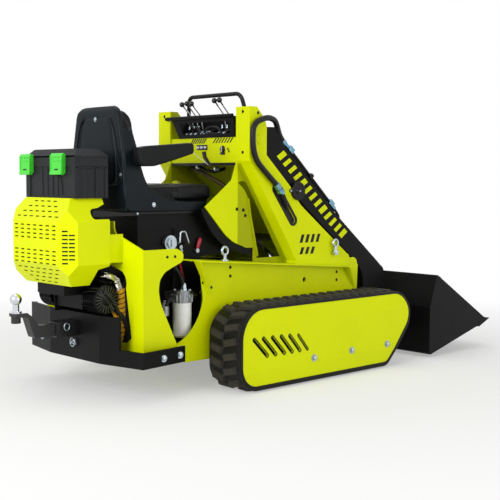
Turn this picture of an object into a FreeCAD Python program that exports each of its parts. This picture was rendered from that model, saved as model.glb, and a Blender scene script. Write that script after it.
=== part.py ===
import FreeCAD, Part
import math
import os
import re

# Ride-on tracked mini skid steer loader with a front bucket.
# +X is the front, +Y the left side, +Z up, millimetres.
# The ground is z = 0 and the overall box is centred on the origin.

doc = FreeCAD.newDocument("Loader")
V3 = FreeCAD.Vector

# Driving dimensions, one row each: name, millimetres, meaning
SIZES = [
    ("hull_side", 328, "outer face of the hull side plate from the centre plane"),
    ("sheet", 6, "thickness of hull and tower sheet"),
    ("tower_deep", 92, "depth of a tower between its outer and inner face"),
    ("lip_over", 44, "overhang of the fender lip"),
    ("track_clear", 8, "gap between a tower and its track"),
    ("track_wide", 206, "width of a track"),
    ("lug_high", 18, "height of a tread lug"),
    ("belt_thick", 14, "thickness of the rubber belt"),
    ("cover_gap", 3, "gap between track and cover"),
    ("cover_deep", 13, "depth of the pressed cover"),
    ("arm_wide", 60, "width of a lift arm"),
    ("arm_pin", 16, "radius of the arm and bucket pins"),
    ("pin_gap", 0.05, "radial gap between a pin and its bore"),
    ("barrel_radius", 26, "radius of a lift cylinder barrel"),
    ("rod_radius", 14, "radius of a lift cylinder rod"),
    ("tilt_barrel_radius", 24, "radius of the tilt cylinder barrel"),
    ("tilt_rod_radius", 13, "radius of the tilt cylinder rod"),
    ("bucket_wide", 1090, "width of the bucket"),
    ("bucket_sheet", 8, "thickness of the bucket plates"),
    ("guard_half", 234, "half width of the rear guard"),
    ("guard_bevel", 60, "bevel of the rear guard"),
    ("guard_sheet", 4, "thickness of the rear guard"),
    ("seat_half", 205, "half width of the seat shell"),
    ("seat_wall", 34, "thickness of the seat's side wings"),
    ("seat_gap", 0.3, "gap around the soft pads"),
    ("box_half", 190, "half width of the toolbox"),
    ("post_out", 370, "outer face of a rear post"),
    ("ball_radius", 25, "radius of the tow ball"),
    ("eye_bore", 12.5, "radius of the hole of a lifting eye"),
]
S = {}
sheet = doc.addObject("Spreadsheet::Sheet", "Sizes")
for row, (name, value, meaning) in enumerate(SIZES, start=1):
    sheet.set("A%d" % row, name)
    sheet.set("B%d" % row, str(value))
    sheet.set("C%d" % row, meaning)
    sheet.setAlias("B%d" % row, name)
    S[name] = float(value)
doc.recompute()

# Faces that follow from the driving dimensions
TOWER_OUT = S["hull_side"] + S["sheet"]
TOWER_IN = TOWER_OUT - S["tower_deep"]
TOWER_MID = TOWER_OUT - S["tower_deep"] / 2
TRACK_IN = TOWER_OUT + S["track_clear"]
TRACK_OUT = TRACK_IN + S["track_wide"]
TRACK_MID = TRACK_IN + S["track_wide"] / 2
COVER_BACK = TRACK_OUT + S["cover_gap"]
LIP_OUT = S["hull_side"] + S["lip_over"]
ARM_IN = TOWER_MID - S["arm_wide"] / 2
ARM_OUT = TOWER_MID + S["arm_wide"] / 2

NODES = []
COUNT = [0]


def bind(obj, prop, rule):
    """Bind a property to a rule written with the names of the size table."""
    text = re.sub(r"[a-z][a-z_]+", lambda m: "Sizes." + m.group(0) if m.group(0) in S else m.group(0), str(rule))
    obj.setExpression(prop, text)


def fresh(stem):
    COUNT[0] += 1
    return "%s_%03d" % (stem, COUNT[0])


def outline(loops, turn):
    """Sketch of closed loops. A loop is a circle (cx, cz, r) or a list of points;
    an entry of four numbers is an arc through the first two to the last two."""
    sk = doc.addObject("Sketcher::SketchObject", fresh("outline"))
    for loop in loops:
        if isinstance(loop, tuple):
            sk.addGeometry(Part.Circle(V3(loop[0], loop[1], 0), V3(0, 0, 1), loop[2]))
            continue
        here = V3(loop[0][0], loop[0][1], 0)
        for item in list(loop[1:]) + [loop[0]]:
            goal = V3(item[-2], item[-1], 0)
            if (goal - here).Length < 1e-6:
                continue
            if len(item) == 4:
                arc = Part.Arc(here, V3(item[0], item[1], 0), goal)
                sk.addGeometry(arc)
            else:
                sk.addGeometry(Part.LineSegment(here, goal))
            here = goal
    sk.Placement = FreeCAD.Placement(V3(0, 0, 0), turn)
    return sk


TURN = {"y": FreeCAD.Rotation(V3(1, 0, 0), 90), "x": FreeCAD.Rotation(V3(1, 1, 1), 120), "z": FreeCAD.Rotation()}
WAY = {"y": V3(0, 1, 0), "x": V3(1, 0, 0), "z": V3(0, 0, 1)}


def prism(loops, start, length, axis="y"):
    """Straight extrusion of a side (y), cross (x) or plan (z) outline."""
    if isinstance(loops, list) and isinstance(loops[0], tuple) and len(loops[0]) == 2:
        loops = [loops]
    sk = outline(loops, TURN[axis])
    bind(sk, "Placement.Base." + axis, start)
    ex = doc.addObject("Part::Extrusion", fresh("prism"))
    ex.Base = sk
    ex.DirMode = "Custom"
    ex.Dir = WAY[axis]
    ex.Solid = True
    bind(ex, "LengthFwd", length)
    sk.Visibility = False
    return ex


def side_plate(loops, outer, thick, side=-1):
    """Plate in the side view whose outer face lies at the given distance from the centre plane."""
    return prism(loops, -outer if side < 0 else outer - thick, thick)


def box(x0, x1, y0, y1, z0, z1):
    b = doc.addObject("Part::Box", fresh("box"))
    b.Placement = FreeCAD.Placement(V3(x0, min(y0, y1), z0), FreeCAD.Rotation())
    bind(b, "Length", x1 - x0)
    bind(b, "Width", abs(y1 - y0))
    bind(b, "Height", z1 - z0)
    return b


def rod(p, q, radius):
    """Round bar between two points."""
    a = V3(*p)
    d = V3(*q) - a
    c = doc.addObject("Part::Cylinder", fresh("rod"))
    c.Placement = FreeCAD.Placement(a, FreeCAD.Rotation(V3(0, 0, 1), d))
    bind(c, "Radius", radius)
    bind(c, "Height", d.Length)
    return c


def cone(p, q, r1, r2):
    a = V3(*p)
    d = V3(*q) - a
    c = doc.addObject("Part::Cone", fresh("cone"))
    c.Placement = FreeCAD.Placement(a, FreeCAD.Rotation(V3(0, 0, 1), d))
    bind(c, "Radius1", r1)
    bind(c, "Radius2", r2)
    bind(c, "Height", d.Length)
    return c


def ball(p, radius, spin=0):
    s = doc.addObject("Part::Sphere", fresh("ball"))
    s.Placement = FreeCAD.Placement(V3(*p), FreeCAD.Rotation(V3(0, 0, 1), spin))
    bind(s, "Radius", radius)
    return s


def ring(p, big, small, axis="y"):
    t = doc.addObject("Part::Torus", fresh("ring"))
    bind(t, "Radius1", big)
    bind(t, "Radius2", small)
    t.Placement = FreeCAD.Placement(V3(*p), TURN[axis])
    return t


def fuse(parts):
    if len(parts) == 1:
        return parts[0]
    f = doc.addObject("Part::MultiFuse", fresh("fuse"))
    f.Shapes = parts
    return f


def cut(base, tools):
    c = doc.addObject("Part::Cut", fresh("cut"))
    c.Base = base
    c.Tool = fuse(tools)
    return c


def common(parts):
    c = doc.addObject("Part::MultiCommon", fresh("common"))
    c.Shapes = parts
    return c


def mirror(src):
    m = doc.addObject("Part::Mirroring", fresh("mirror"))
    m.Source = src
    m.Normal = V3(0, 1, 0)
    return m


def node(label, parts, tools=None):
    """Give one finished sub-part its label."""
    obj = fuse(parts)
    if tools:
        obj = cut(obj, tools)
    obj.Label = label
    NODES.append(obj)
    return obj


def pair(stem, parts, tools=None):
    """The right-hand sub-part and its mirror image on the left."""
    right = node(stem + "_right", parts, tools)
    left = mirror(right)
    left.Label = stem + "_left"
    NODES.append(left)
    return right


def bent_pipe(points, radius, bend):
    """Round pipe along straight runs joined by tangent arcs."""
    pts = [V3(*p) for p in points]
    edges = []
    last = pts[0]
    for i in range(1, len(pts) - 1):
        u = (pts[i - 1] - pts[i]).normalize()
        v = (pts[i + 1] - pts[i]).normalize()
        half = u.getAngle(v) / 2
        back = bend / math.tan(half)
        a = pts[i] + u * back
        b = pts[i] + v * back
        w = (u + v).normalize()
        m = pts[i] + w * (bend / math.sin(half) - bend)
        if (a - last).Length > 1e-6:
            edges.append(Part.LineSegment(last, a).toShape())
        edges.append(Part.Arc(a, m, b).toShape())
        last = b
    edges.append(Part.LineSegment(last, pts[-1]).toShape())
    wire = Part.Wire(edges)
    hoop = Part.Wire(Part.Circle(pts[0], pts[1] - pts[0], radius).toShape())
    obj = doc.addObject("Part::Feature", fresh("pipe"))
    obj.Shape = wire.makePipeShell([hoop], True, True)
    return obj


def soft(pts, r):
    """Closed polygon with round corners; r is one radius or a radius for each corner."""
    out = []
    n = len(pts)
    for i in range(n):
        rr = r if isinstance(r, (int, float)) else r[i]
        p = V3(pts[i][0], pts[i][1], 0)
        if rr <= 0:
            out.append((p.x, p.y))
            continue
        a = V3(pts[i - 1][0], pts[i - 1][1], 0) - p
        b = V3(pts[(i + 1) % n][0], pts[(i + 1) % n][1], 0) - p
        half = a.getAngle(b) / 2
        room = 0.48 * min(a.Length, b.Length)
        back = min(rr / math.tan(half), room)
        rr = back * math.tan(half)
        a.normalize()
        b.normalize()
        s = p + a * back
        e = p + b * back
        w = (a + b).normalize()
        m = p + w * (rr / math.sin(half) - rr)
        out.append((s.x, s.y))
        out.append((m.x, m.y, e.x, e.y))
    return out


def slot_loop(p, q, w):
    """Straight slot of width w with round ends."""
    dx, dz = q[0] - p[0], q[1] - p[1]
    d = math.hypot(dx, dz)
    ux, uz = dx / d, dz / d
    nx, nz = -uz * w / 2, ux * w / 2
    k = w / 2
    return [(p[0] + nx, p[1] + nz), (p[0] - ux * k, p[1] - uz * k, p[0] - nx, p[1] - nz),
            (q[0] - nx, q[1] - nz), (q[0] + ux * k, q[1] + uz * k, q[0] + nx, q[1] + nz)]


def polar(cx, cz, r, deg):
    a = math.radians(deg)
    return (cx + r * math.cos(a), cz + r * math.sin(a))


# Running outline of a track: four corner circles (x, z, radius) to the lug tips
TRACK_CORNERS = [(-470, 115, 115), (405, 62, 62), (480, 256, 129), (-435, 235, 150)]
LUG_COUNT = 44


def belt(inset):
    """Arcs and lines along the loop, counter-clockwise from below."""
    runs = []
    n = len(TRACK_CORNERS)
    leave = []
    for i in range(n):
        x1, z1, r1 = TRACK_CORNERS[i]
        x2, z2, r2 = TRACK_CORNERS[(i + 1) % n]
        tilt = math.acos((r1 - r2) / math.dist((x1, z1), (x2, z2)))
        leave.append(math.degrees(math.atan2(z2 - z1, x2 - x1) - tilt))
    for i in range(n):
        x, z, r = TRACK_CORNERS[i]
        first = leave[i - 1]
        last = leave[i]
        while last < first:
            last += 360
        runs.append(("arc", x, z, r - inset, first, last))
        x2, z2, r2 = TRACK_CORNERS[(i + 1) % n]
        runs.append(("line", polar(x, z, r - inset, last), polar(x2, z2, r2 - inset, last), last))
    return runs


def run_length(run):
    if run[0] == "arc":
        return run[3] * math.radians(run[5] - run[4])
    return math.dist(run[1], run[2])


def along(runs, s):
    """Point and outward direction in degrees at a distance along the loop."""
    s %= sum(run_length(r) for r in runs)
    for run in runs:
        size = run_length(run)
        if s <= size:
            t = s / size
            if run[0] == "arc":
                deg = run[4] + (run[5] - run[4]) * t
                return polar(run[1], run[2], run[3], deg), deg
            a, b = run[1], run[2]
            return (a[0] + (b[0] - a[0]) * t, a[1] + (b[1] - a[1]) * t), run[3]
        s -= size
    return runs[0][1], 0


def loop_arcs(inset):
    """The loop as true arcs and lines."""
    pts = []
    for run in belt(inset):
        if run[0] == "arc":
            pts.append(polar(run[1], run[2], run[3], run[4]))
            m = polar(run[1], run[2], run[3], (run[4] + run[5]) / 2)
            e = polar(run[1], run[2], run[3], run[5])
            pts.append((m[0], m[1], e[0], e[1]))
    return pts


def loop_points(inset, arc_step=15):
    """The loop as points, for the belt that carries the lugs."""
    pts = []
    for run in belt(inset):
        if run[0] == "arc":
            steps = max(2, int((run[5] - run[4]) / arc_step))
            for k in range(steps + 1):
                pts.append(polar(run[1], run[2], run[3], run[4] + (run[5] - run[4]) * k / steps))
    return pts


def lug_outline(shift):
    """Outer outline with trapezoid lugs, shifted by a part of the pitch."""
    runs = belt(S["lug_high"])
    pitch = sum(run_length(r) for r in runs) / LUG_COUNT
    pts = []
    for i in range(int(LUG_COUNT)):
        s = (i + shift) * pitch
        for part, high in ((0.0, 0), (0.10, 1), (0.44, 1), (0.54, 0)):
            p, deg = along(runs, s + part * pitch)
            a = math.radians(deg)
            h = high * S["lug_high"]
            pts.append((p[0] + h * math.cos(a), p[1] + h * math.sin(a)))
    return pts


# Two staggered rows of lugs share one closed belt
inside = loop_points(S["lug_high"] + S["belt_thick"])
half = "track_wide / 2"
rows = [prism([lug_outline(0.0), inside], "-(hull_side + sheet + track_clear + track_wide)", half),
        prism([lug_outline(0.5), inside], "-(hull_side + sheet + track_clear + track_wide / 2)", half)]
pair("track", rows)

# Wheels, rollers, beam and axles inside each track
wheels = []
drop = S["lug_high"] + S["belt_thick"] + 1.5
for x, z, r in TRACK_CORNERS:
    wheels.append(rod((x, -TRACK_MID - 62, z), (x, -TRACK_MID + 62, z), r - drop))
    wheels.append(rod((x, -TRACK_MID - 80, z), (x, -TRACK_MID + 80, z), 22))
for x in (-310, -180, -50, 80, 210, 320):
    wheels.append(rod((x, -TRACK_MID - 60, 76), (x, -TRACK_MID + 60, 76), 76 - drop))
beam = prism([(-470, 90), (405, 50), (480, 250), (-435, 240)], -TRACK_MID - 36, 72)
for x in (-250, 300):
    wheels.append(rod((x, -TRACK_MID, 190), (x, -S["hull_side"], 190), 45))
for x, z in ((-115, 113), (149, 118), (417, 119)):
    wheels.append(rod((x, -TRACK_MID, z), (x, -COVER_BACK, z), 12))
holes = []
for x, z, r, count in ((-435, 235, 66, 5), (480, 256, 52, 5)):
    for k in range(count):
        p = polar(x, z, r, 360 * k / count + 20)
        for s in (-1, 1):
            holes.append(rod((p[0], -TRACK_MID + s * 40, p[1]), (p[0], -TRACK_MID + s * 70, p[1]), 17))
pair("track_frame", wheels + [beam], holes)

# Pressed cover with sloping upper and lower bands and six slanted slots
face = prism([loop_arcs(9)], "-(hull_side + sheet + track_clear + track_wide + cover_gap + cover_deep)", "cover_deep")
deep = COVER_BACK + S["cover_deep"]
bands = prism([(-COVER_BACK, 0), (-COVER_BACK, 400), (-COVER_BACK - 3, 400), (-deep, 291), (-deep, 94),
               (-COVER_BACK - 3, 0)], -700, 1400, "x")
SLOTS = [(-498, 237, -419, 160, 15), (-442, 237, -367, 160, 15), (-386, 236, -312, 160, 15),
         (-331, 235, -262, 160, 15), (-277, 233, -211, 160, 14), (-221, 230, -161, 160, 10)]
slots = [prism([slot_loop((x1, z1), (x2, z2), w)], -deep - 20, S["cover_deep"] + 40) for x1, z1, x2, z2, w in SLOTS]
pair("track_cover", [common([face, bands])], slots)

# Hull between the tracks
LIP_REAR, LIP_FRONT = (-644, 579), (354, 499)
side_loop = [(-644, 575.5), (-612, 573), (-597, 480, -587, 400), (-640, 285, -743, 216), (-690, 130), (440, 130),
             (478, 200), (452, 367), (458, 500), (446, 530, 415, 537), (384, 540), (384, 490)]
hull = []
for s in (-1, 1):
    hull.append(side_plate([side_loop], S["hull_side"], S["sheet"], s))
    lip = [(-644, 573), (354, 493), (354, 499), (-644, 579)]
    hull.append(prism([lip], -LIP_OUT if s < 0 else TOWER_IN - 8, LIP_OUT - TOWER_IN + 8))
    inner = s * (S["hull_side"] - S["sheet"])
    hull.append(rod((75, s * (TOWER_MID - 34), 400), (75, inner, 400), "arm_pin"))
    hull.append(box(40, 110, s * (TOWER_MID - 34), s * (TOWER_MID - 42), 138, 440))
hull.append(box(-690, 440, -S["hull_side"] + S["sheet"], S["hull_side"] - S["sheet"], 130, 138))
FRONT = [(440, 130), (447, 130), (484, 200), (458, 369), (464, 500), (458, 500), (452, 367), (478, 200)]
hull.append(prism([FRONT], "-hull_side", "hull_side * 2"))
floor_half = S["post_out"] + 12
hull.append(box(-985, -744, -floor_half, floor_half, 160, 168))
hull.append(box(-744, -680, -S["hull_side"], S["hull_side"], 160, 168))
# Tapering end plates of the fenders
for s in (-1, 1):
    for top, low in (((-644, 577), (-560, 420)), ((354, 497), (436, 385))):
        lean = 6 if top[0] < 0 else -6
        band = prism([(top[0], top[1]), (top[0] + lean, top[1] - 3), (low[0] + lean, low[1]), (low[0], low[1])],
                     -LIP_OUT if s < 0 else S["hull_side"], S["lip_over"])
        wedge = prism([(s * S["hull_side"], 600), (s * LIP_OUT, 600), (s * LIP_OUT, top[1] - 10),
                       (s * (S["hull_side"] + 4), low[1] - 2), (s * S["hull_side"], low[1] - 2)], -700, 1300, "x")
        hull.append(common([band, wedge]))
gaps = []
for s in (-1, 1):
    gaps.append(box(5, 140, s * (TOWER_MID - 31), s * (TOWER_MID + 31), 441, 600))
    gaps.append(rod((65, s * (S["hull_side"] - 20), 447), (65, s * (S["hull_side"] + 20), 447), 12))
node("chassis", hull, gaps)

# Towers
outer_loop = [(-315, 1268), (-267, 1268), (-218, 1213), (-205, 1180), (-205, 1047), (-42, 898), (-30, 862), (8, 832),
              (35, 806), (372, 560), (392, 536, 384, 512), (384, 497), (5, 527), (5, 545), (-309, 1018)]
fold_loop = [(-315, 1268), (-315, 1018), (0, 543), (0, 528), (7, 527), (7, 545), (-309, 1020), (-309, 1268)]
inner_loop = [(-315, 1268), (-267, 1268), (-218, 1213), (-205, 1180), (-205, 1047), (-42, 898), (40, 800),
              (384, 520), (384, 497), (-205, 545), (-205, 610), (-253, 612), (-319, 636), (-360, 660, -401, 696),
              (-459, 757), (-508, 808), (-410, 880), (-345, 930), (-315, 1012)]
tear = [(-307, 916), (-262, 880, -243, 846), (-229, 766), (-181, 560), (-22, 560), (-240, 905), (-270, 925, -307, 916)]
outer = prism([outer_loop], "-(hull_side + sheet)", "sheet")
inner = cut(prism([inner_loop], -TOWER_IN - S["sheet"], "sheet"), [prism([tear], -TOWER_IN - S["sheet"] - 5, 16)])
fold = prism([fold_loop], "-(hull_side + sheet)", "tower_deep")
cap = box(-315, -267, -TOWER_OUT, -TOWER_IN, 1262, 1268)
pivot = rod((-250, -TOWER_OUT, 1120), (-250, -TOWER_IN, 1120), "arm_pin")
slot = prism([slot_loop((-140, 890), (-25, 738), 28)], -TOWER_OUT - 5, 16)
bolts = [rod((-262, -TOWER_OUT - 5, 1240), (-262, -TOWER_OUT + 12, 1240), 4),
         rod((-320, -TOWER_MID, 1245), (-300, -TOWER_MID, 1245), 4),
         rod((-320, -TOWER_MID, 1058), (-300, -TOWER_MID, 1058), 4)]
for x, z in ((-313, 795), (-268, 790), (-255, 761)):
    bolts.append(rod((x, -TOWER_IN - 12, z), (x, -TOWER_IN + 5, z), 4))
# The left edge of the tear opening is folded outwards
lip = prism([(-247, 846), (-233, 766), (-186, 570), (-181, 570), (-229, 766), (-243, 846)], -TOWER_IN - 16, 14)
pair("tower", [outer, inner, fold, cap, pivot, lip], [slot] + bolts)

# Cross panel, lever tray, levers and grab bar
dash = [box(-306, -300, -TOWER_IN, TOWER_IN, 1012, 1131), box(-300, -215, -TOWER_IN, TOWER_IN, 1012, 1018),
        box(-221, -215, -TOWER_IN, TOWER_IN, 1018, 1131), box(-300, -221, -TOWER_IN, TOWER_IN, 1125, 1131)]
node("dash_panel", dash)
BOX_END = TOWER_IN - 14


def tray_solid(t, top):
    """Tray with a slanting left end, inset by t on all sides but the top."""
    side = [(-309 + t, 1131 + t), (-215 - t, 1131 + t), (-215 - t, top), (-318 + t, top)]
    cross = [(-BOX_END + t, 1131 + t), (178 - t, 1131 + t), (BOX_END - t, top), (-BOX_END + t, top)]
    return common([prism([side], -BOX_END - 10, 2 * BOX_END + 20), prism([cross], -330, 130, "x")])


window = prism([soft([(-196, 1149), (150, 1149), (168, 1206), (-196, 1206)], 8)], -330, 40, "x")
rail = rod((-325, -BOX_END, 1230), (-325, TOWER_IN + 20, 1230), 9)
node("lever_box", [cut(tray_solid(0, 1228), [tray_solid(6, 1236), window]), rail])
# Levers: sideways place of the foot, of the knob, and height of the knob
LEVERS = [(143, 149, 1298), (107, 111, 1301), (72, 77, 1299), (-98, -91, 1305), (-134, -127, 1306)]
levers = []
for foot_y, knob_y, knob_z in LEVERS:
    levers.append(rod((-240, foot_y, 1150), (-258, foot_y, 1238), 3.5))
    levers.append(ball((-258, foot_y, 1238), 5, 90))
    levers.append(rod((-258, foot_y, 1238), (-316, knob_y, knob_z), 3.5))
    levers.append(ball((-316, knob_y, knob_z), 13, 90))
    levers.append(cone((-240, foot_y, 1137.2), (-240, foot_y, 1166), 15, 6))
node("control_levers", levers)
node("grab_bar", [bent_pipe([(-218, 213, 1231.4), (-240, 186, 1338), (-240, -192, 1338), (-218, -213, 1231.3)], 10, 40)])

# Sloping front panel, foot plate and seat base
slope = [(-215, 1012), (-215, 1004), (438, 500), (452, 500), (452, 506), (440, 508)]
node("front_panel", [prism([slope], -TOWER_IN, TOWER_IN * 2)])
foot = [(-500, 780), (-450, 712), (-412, 661, -350, 640), (235, 640), (235, 646), (-349, 646),
        (-408, 666, -445, 716), (-493, 780)]
# Side flanges whose lower edge shows below the towers' inner plates
flange = [(-526, 800), (-509, 761), (-493, 736), (-470, 701), (-447, 674), (-413, 645), (-384, 624), (-319, 600),
          (-259, 581), (-205, 573), (-205, 640), (-253, 640), (-310, 655), (-352, 680), (-392, 716), (-448, 776),
          (-480, 812)]
flanges = [side_plate([flange], TOWER_IN - 0.3, 6, s) for s in (-1, 1)]
node("foot_plate", [prism([foot], -TOWER_IN + 0.3, TOWER_IN * 2 - 0.6)] + flanges)
base_loop = [(-842, 500), (-842, 780), (-500.3, 780), (-450.3, 712), (-412.3, 661, -350.3, 640), (-350, 592),
             (-640, 560), (-640, 500)]
recess = soft([(-826, 640), (-826, 714), (-640, 714), (-640, 640)], 8)
seat_base = node("seat_base", [prism([base_loop], -185, 370)],
                 [prism([recess], -190, 11), prism([recess], 179, 11)])
plate = [box(-862, -480, -200, 200, 780, 789)]
for s in (-1, 1):
    plate.append(prism([(-1092, 775), (-1092, 801), (-1060, 801), (-930, 789), (-862, 789), (-862, 775)],
                       s * 205 - 4, 8))
    plate.append(box(-880, -850, s * 196, s * 209, 775, 789))
node("seat_plate", plate)

# Seat: moulded shell with side wings and soft pads
wide = soft([(-150, 1250), (150, 1250), (192, 1040), (205, 880), (205, 789), (-205, 789), (-205, 880), (-192, 1040)],
            [62, 62, 200, 120, 0, 0, 120, 200])
scale_y = S["seat_half"] / 205
wide = [tuple(v * scale_y if k % 2 == 0 else v for k, v in enumerate(p)) for p in wide]
side = soft([(-905, 789), (-927, 860), (-927, 1225), (-915, 1250), (-886, 1250), (-868, 1190), (-838, 1055),
             (-826, 985), (-800, 905), (-690, 842), (-560, 832), (-470, 832), (-452, 812), (-470, 789)],
            [30, 60, 30, 18, 14, 60, 80, 60, 90, 90, 0, 14, 10, 10])
pocket = soft([(-897, 868), (-897, 1300), (-300, 1300), (-300, 812), (-864, 812)], 0)
shell = common([prism([side], -S["seat_half"], S["seat_half"] * 2), prism([wide], -1000, 700, "x")])
in_half = S["seat_half"] - S["seat_wall"]
panel = soft([(-108, 1205), (108, 1205), (140, 1040), (150, 905), (-150, 905), (-140, 1040)], [34, 34, 90, 40, 40, 90])
ridge = soft([(-98, 1195), (98, 1195), (130, 1038), (140, 915), (-140, 915), (-130, 1038)], [28, 28, 80, 34, 34, 80])
groove = cut(prism([panel], -935, 13, "x"), [prism([ridge], -940, 30, "x")])
shell_node = node("seat_shell", [shell], [prism([pocket], -in_half, in_half * 2), groove])
g = S["seat_gap"]
back = soft([(-897 + g, 905), (-897 + g, 1228), (-868, 1236), (-838, 1200), (-812, 1050), (-818, 905)],
            [8, 20, 24, 60, 60, 20])
narrow = soft([(-132, 1238), (132, 1238), (168, 1030), (168, 900), (-168, 900), (-168, 1030)], [46, 46, 60, 12, 12, 60])
k_in = (in_half - g) / 171
narrow = [tuple(v * k_in if k % 2 == 0 else v for k, v in enumerate(p)) for p in narrow]
node("back_cushion", [common([prism([back], -in_half, in_half * 2), prism([narrow], -1000, 700, "x")])])
pad = soft([(-862, 812 + g), (-858, 890), (-800, 900), (-560, 906), (-440, 905), (-406, 880), (-408, 835),
            (-440, 812 + g)], [10, 24, 60, 100, 30, 24, 20, 16])
pad_plan = soft([(-870, -in_half + g), (-402, -in_half + g), (-402, in_half - g), (-870, in_half - g)],
                [20, 50, 50, 20])
ahead_plan = soft([(-634, -in_half - 26), (-402, -in_half - 26), (-402, in_half + 26), (-634, in_half + 26)],
                  [24, 50, 50, 24])
over = 846
node("seat_cushion", [common([prism([pad], -in_half, in_half * 2), prism([pad_plan], 700, 300, "z")]),
                      common([prism([pad], -260, 520), prism([ahead_plan], over, 100, "z")])])
rest = soft([(-888, 986), (-888, 1064), (-850, 1074), (-596, 1095), (-580, 1086), (-582, 1047), (-690, 1016),
             (-800, 988)], [26, 20, 40, 10, 8, 10, 80, 40])
arm_y = S["seat_half"] + 57
rest_body = [prism([rest], -arm_y, 52), rod((-842, -arm_y + 10, 1020), (-842, -S["seat_half"] + 26, 1020), 24)]
right_rest = cut(fuse(rest_body), [shell_node])
node("armrests", [right_rest, mirror(right_rest)])

# Toolbox with lid and latches
b = S["box_half"]
tub = [box(-1162, -1004, -b + 4, b - 4, 852, 1012)]
for s in (-1, 1):
    for x0, x1 in ((-1166, -1150), (-1062, -1050), (-1016, -1000)):
        tub.append(box(x0, x1, s * (b - 18), s * b, 852, 1000))
    tub.append(box(-1166, -1150, s * (b - 34), s * b, 852, 1000))
tub.append(box(-1166, -1000, -b, b, 985, 1012))
HINGE = (-996, 1012.15)
for s in (-1, 1):
    tub.append(rod((HINGE[0], s * 130.5, HINGE[1]), (HINGE[0], s * 160, HINGE[1]), 4))
    tub.append(box(-1000, -996, s * 130.5, s * 160, 1000, 1010))
node("toolbox_body", tub, [box(-1156, -1010, -b + 10, b - 10, 860, 1020)])
lid_low = box(-1166, -1000, -b, b, 1012.3, 1030)
lid_top = common([prism([(-1166, 1030), (-1140, 1058), (-1022, 1058), (-1000, 1030)], -b, 2 * b),
                  prism([(-b, 1030), (-b + 30, 1058), (b - 30, 1058), (b, 1030)], -1200, 300, "x")])
lid_in = box(-1156, -1010, -b + 10, b - 10, 1012, 1030)
lid = [lid_low, lid_top]
for s in (-1, 1):
    lid.append(rod((HINGE[0], s * 100, HINGE[1]), (HINGE[0], s * 130, HINGE[1]), 4))
    lid.append(box(-1000, -996, s * 100, s * 130, 1014, 1024))
node("toolbox_lid", lid, [lid_in])
clip = soft([(-1166, 1036), (-1178, 1040), (-1184, 1028), (-1184, 968), (-1190, 950), (-1176, 948), (-1166, 958)],
            [0, 5, 6, 12, 3, 4, 0])
node("toolbox_latches", [prism([clip], -122, 88), prism([clip], 128, 84)])

# Rear posts that carry the guard
post = soft([(-947, 168), (-947, 637), (-772, 637), (-737, 620), (-737, 582), (-800, 557), (-838, 540), (-866, 508),
             (-871, 462), (-862, 410), (-774, 228), (-774, 168)], [0, 0, 30, 24, 24, 60, 60, 60, 60, 200, 0, 0])
strip_loop = [(-S["post_out"], 168), (-S["post_out"], 637), (-210, 690), (-178, 700, -165, 735), (-163, 752),
              (-137, 752), (-137, 562), (-205, 545), (-243, 522, -250, 470), (-288, 260), (-262, 242, -201, 236),
              (-201, 168)]
pair("support", [prism([post], "-post_out", "sheet"), prism([strip_loop], -953, 6, "x"),
                 prism([[(-953, 580), (-953, 700), (-1060, 700), (-1060, 580)]], "guard_sheet - guard_half", 6)])


# Faceted rear guard with rows of grille slots
def guard_solid(t, ahead):
    w = S["guard_half"] - t
    top = S["guard_half"] - S["guard_bevel"] - t * 0.6
    prof = [(-1242 + t, 577), (-1242 + t, 753), (-1178 + t * 0.6, 852 - t), (-1022 + ahead, 852 - t),
            (-1022 + ahead, 566), (-1072 + ahead, 554 + t), (-1086 + ahead, 486 + t), (-1178 + t * 0.6, 486 + t)]
    cross = [(-top, 852 - t), (top, 852 - t), (w, 753), (w, 577), (top, 486 + t), (-top, 486 + t), (-w, 577), (-w, 753)]
    c = S["guard_half"] - S["guard_bevel"]
    plan = [(-1242 + t, -c), (-1242 + t, c), (-1181 + t * 0.6, w), (-1022 + ahead, w), (-1022 + ahead, -w),
            (-1181 + t * 0.6, -w)]
    return common([prism([prof], -w - 50, 2 * w + 100), prism([cross], -1300, 600, "x"), prism([plan], 400, 500, "z")])


guard = cut(guard_solid(0, 0), [guard_solid(S["guard_sheet"], 40)])
slots = []
for col in range(7):
    y = 147 - col * 49
    for row in range(4):
        for z in (738 - row * 17.5, 633 - row * 17.5):
            slots.append(box(-1250, -1230, y - 14, y + 14, z - 2.8, z + 2.8))
for row, count in enumerate((7, 6, 5, 4)):
    for k in range(count):
        y = (k - (count - 1) / 2) * 49
        x = -1242 + 17 + row * 14
        for z in (775 + row * 21, 555 - row * 19):
            slots.append(box(x - 16, x + 14, y - 14, y + 14, z - 2.4, z + 2.4))
for s in (-1, 1):
    for k, (count, off) in enumerate(((9, 16), (7, 44))):
        for row in range(count):
            z = 665 + (row - (count - 1) / 2) * 16
            a = S["guard_half"] - S["guard_bevel"] + off
            slots.append(prism([(-1242 + off - 16, s * (a - 14) - s * 16), (-1242 + off + 16 - 16, s * (a + 14) - s * 16),
                                (-1242 + off + 16 + 8, s * (a + 14) + s * 8), (-1242 + off + 8, s * (a - 14) + s * 8)]
                               , z - 2.6, 5.2, "z"))
    slots.append(prism(soft([(-1104, 764), (-1104, 806), (-1060, 812), (-1015, 830), (-1015, 764)], [18, 18, 0, 0, 0]),
                       s * (S["guard_half"] - 8) - 40, 80))
slots.append(box(-1172, -990, -166, 166, 480, 496))
node("engine_guard", [guard], slots)

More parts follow.
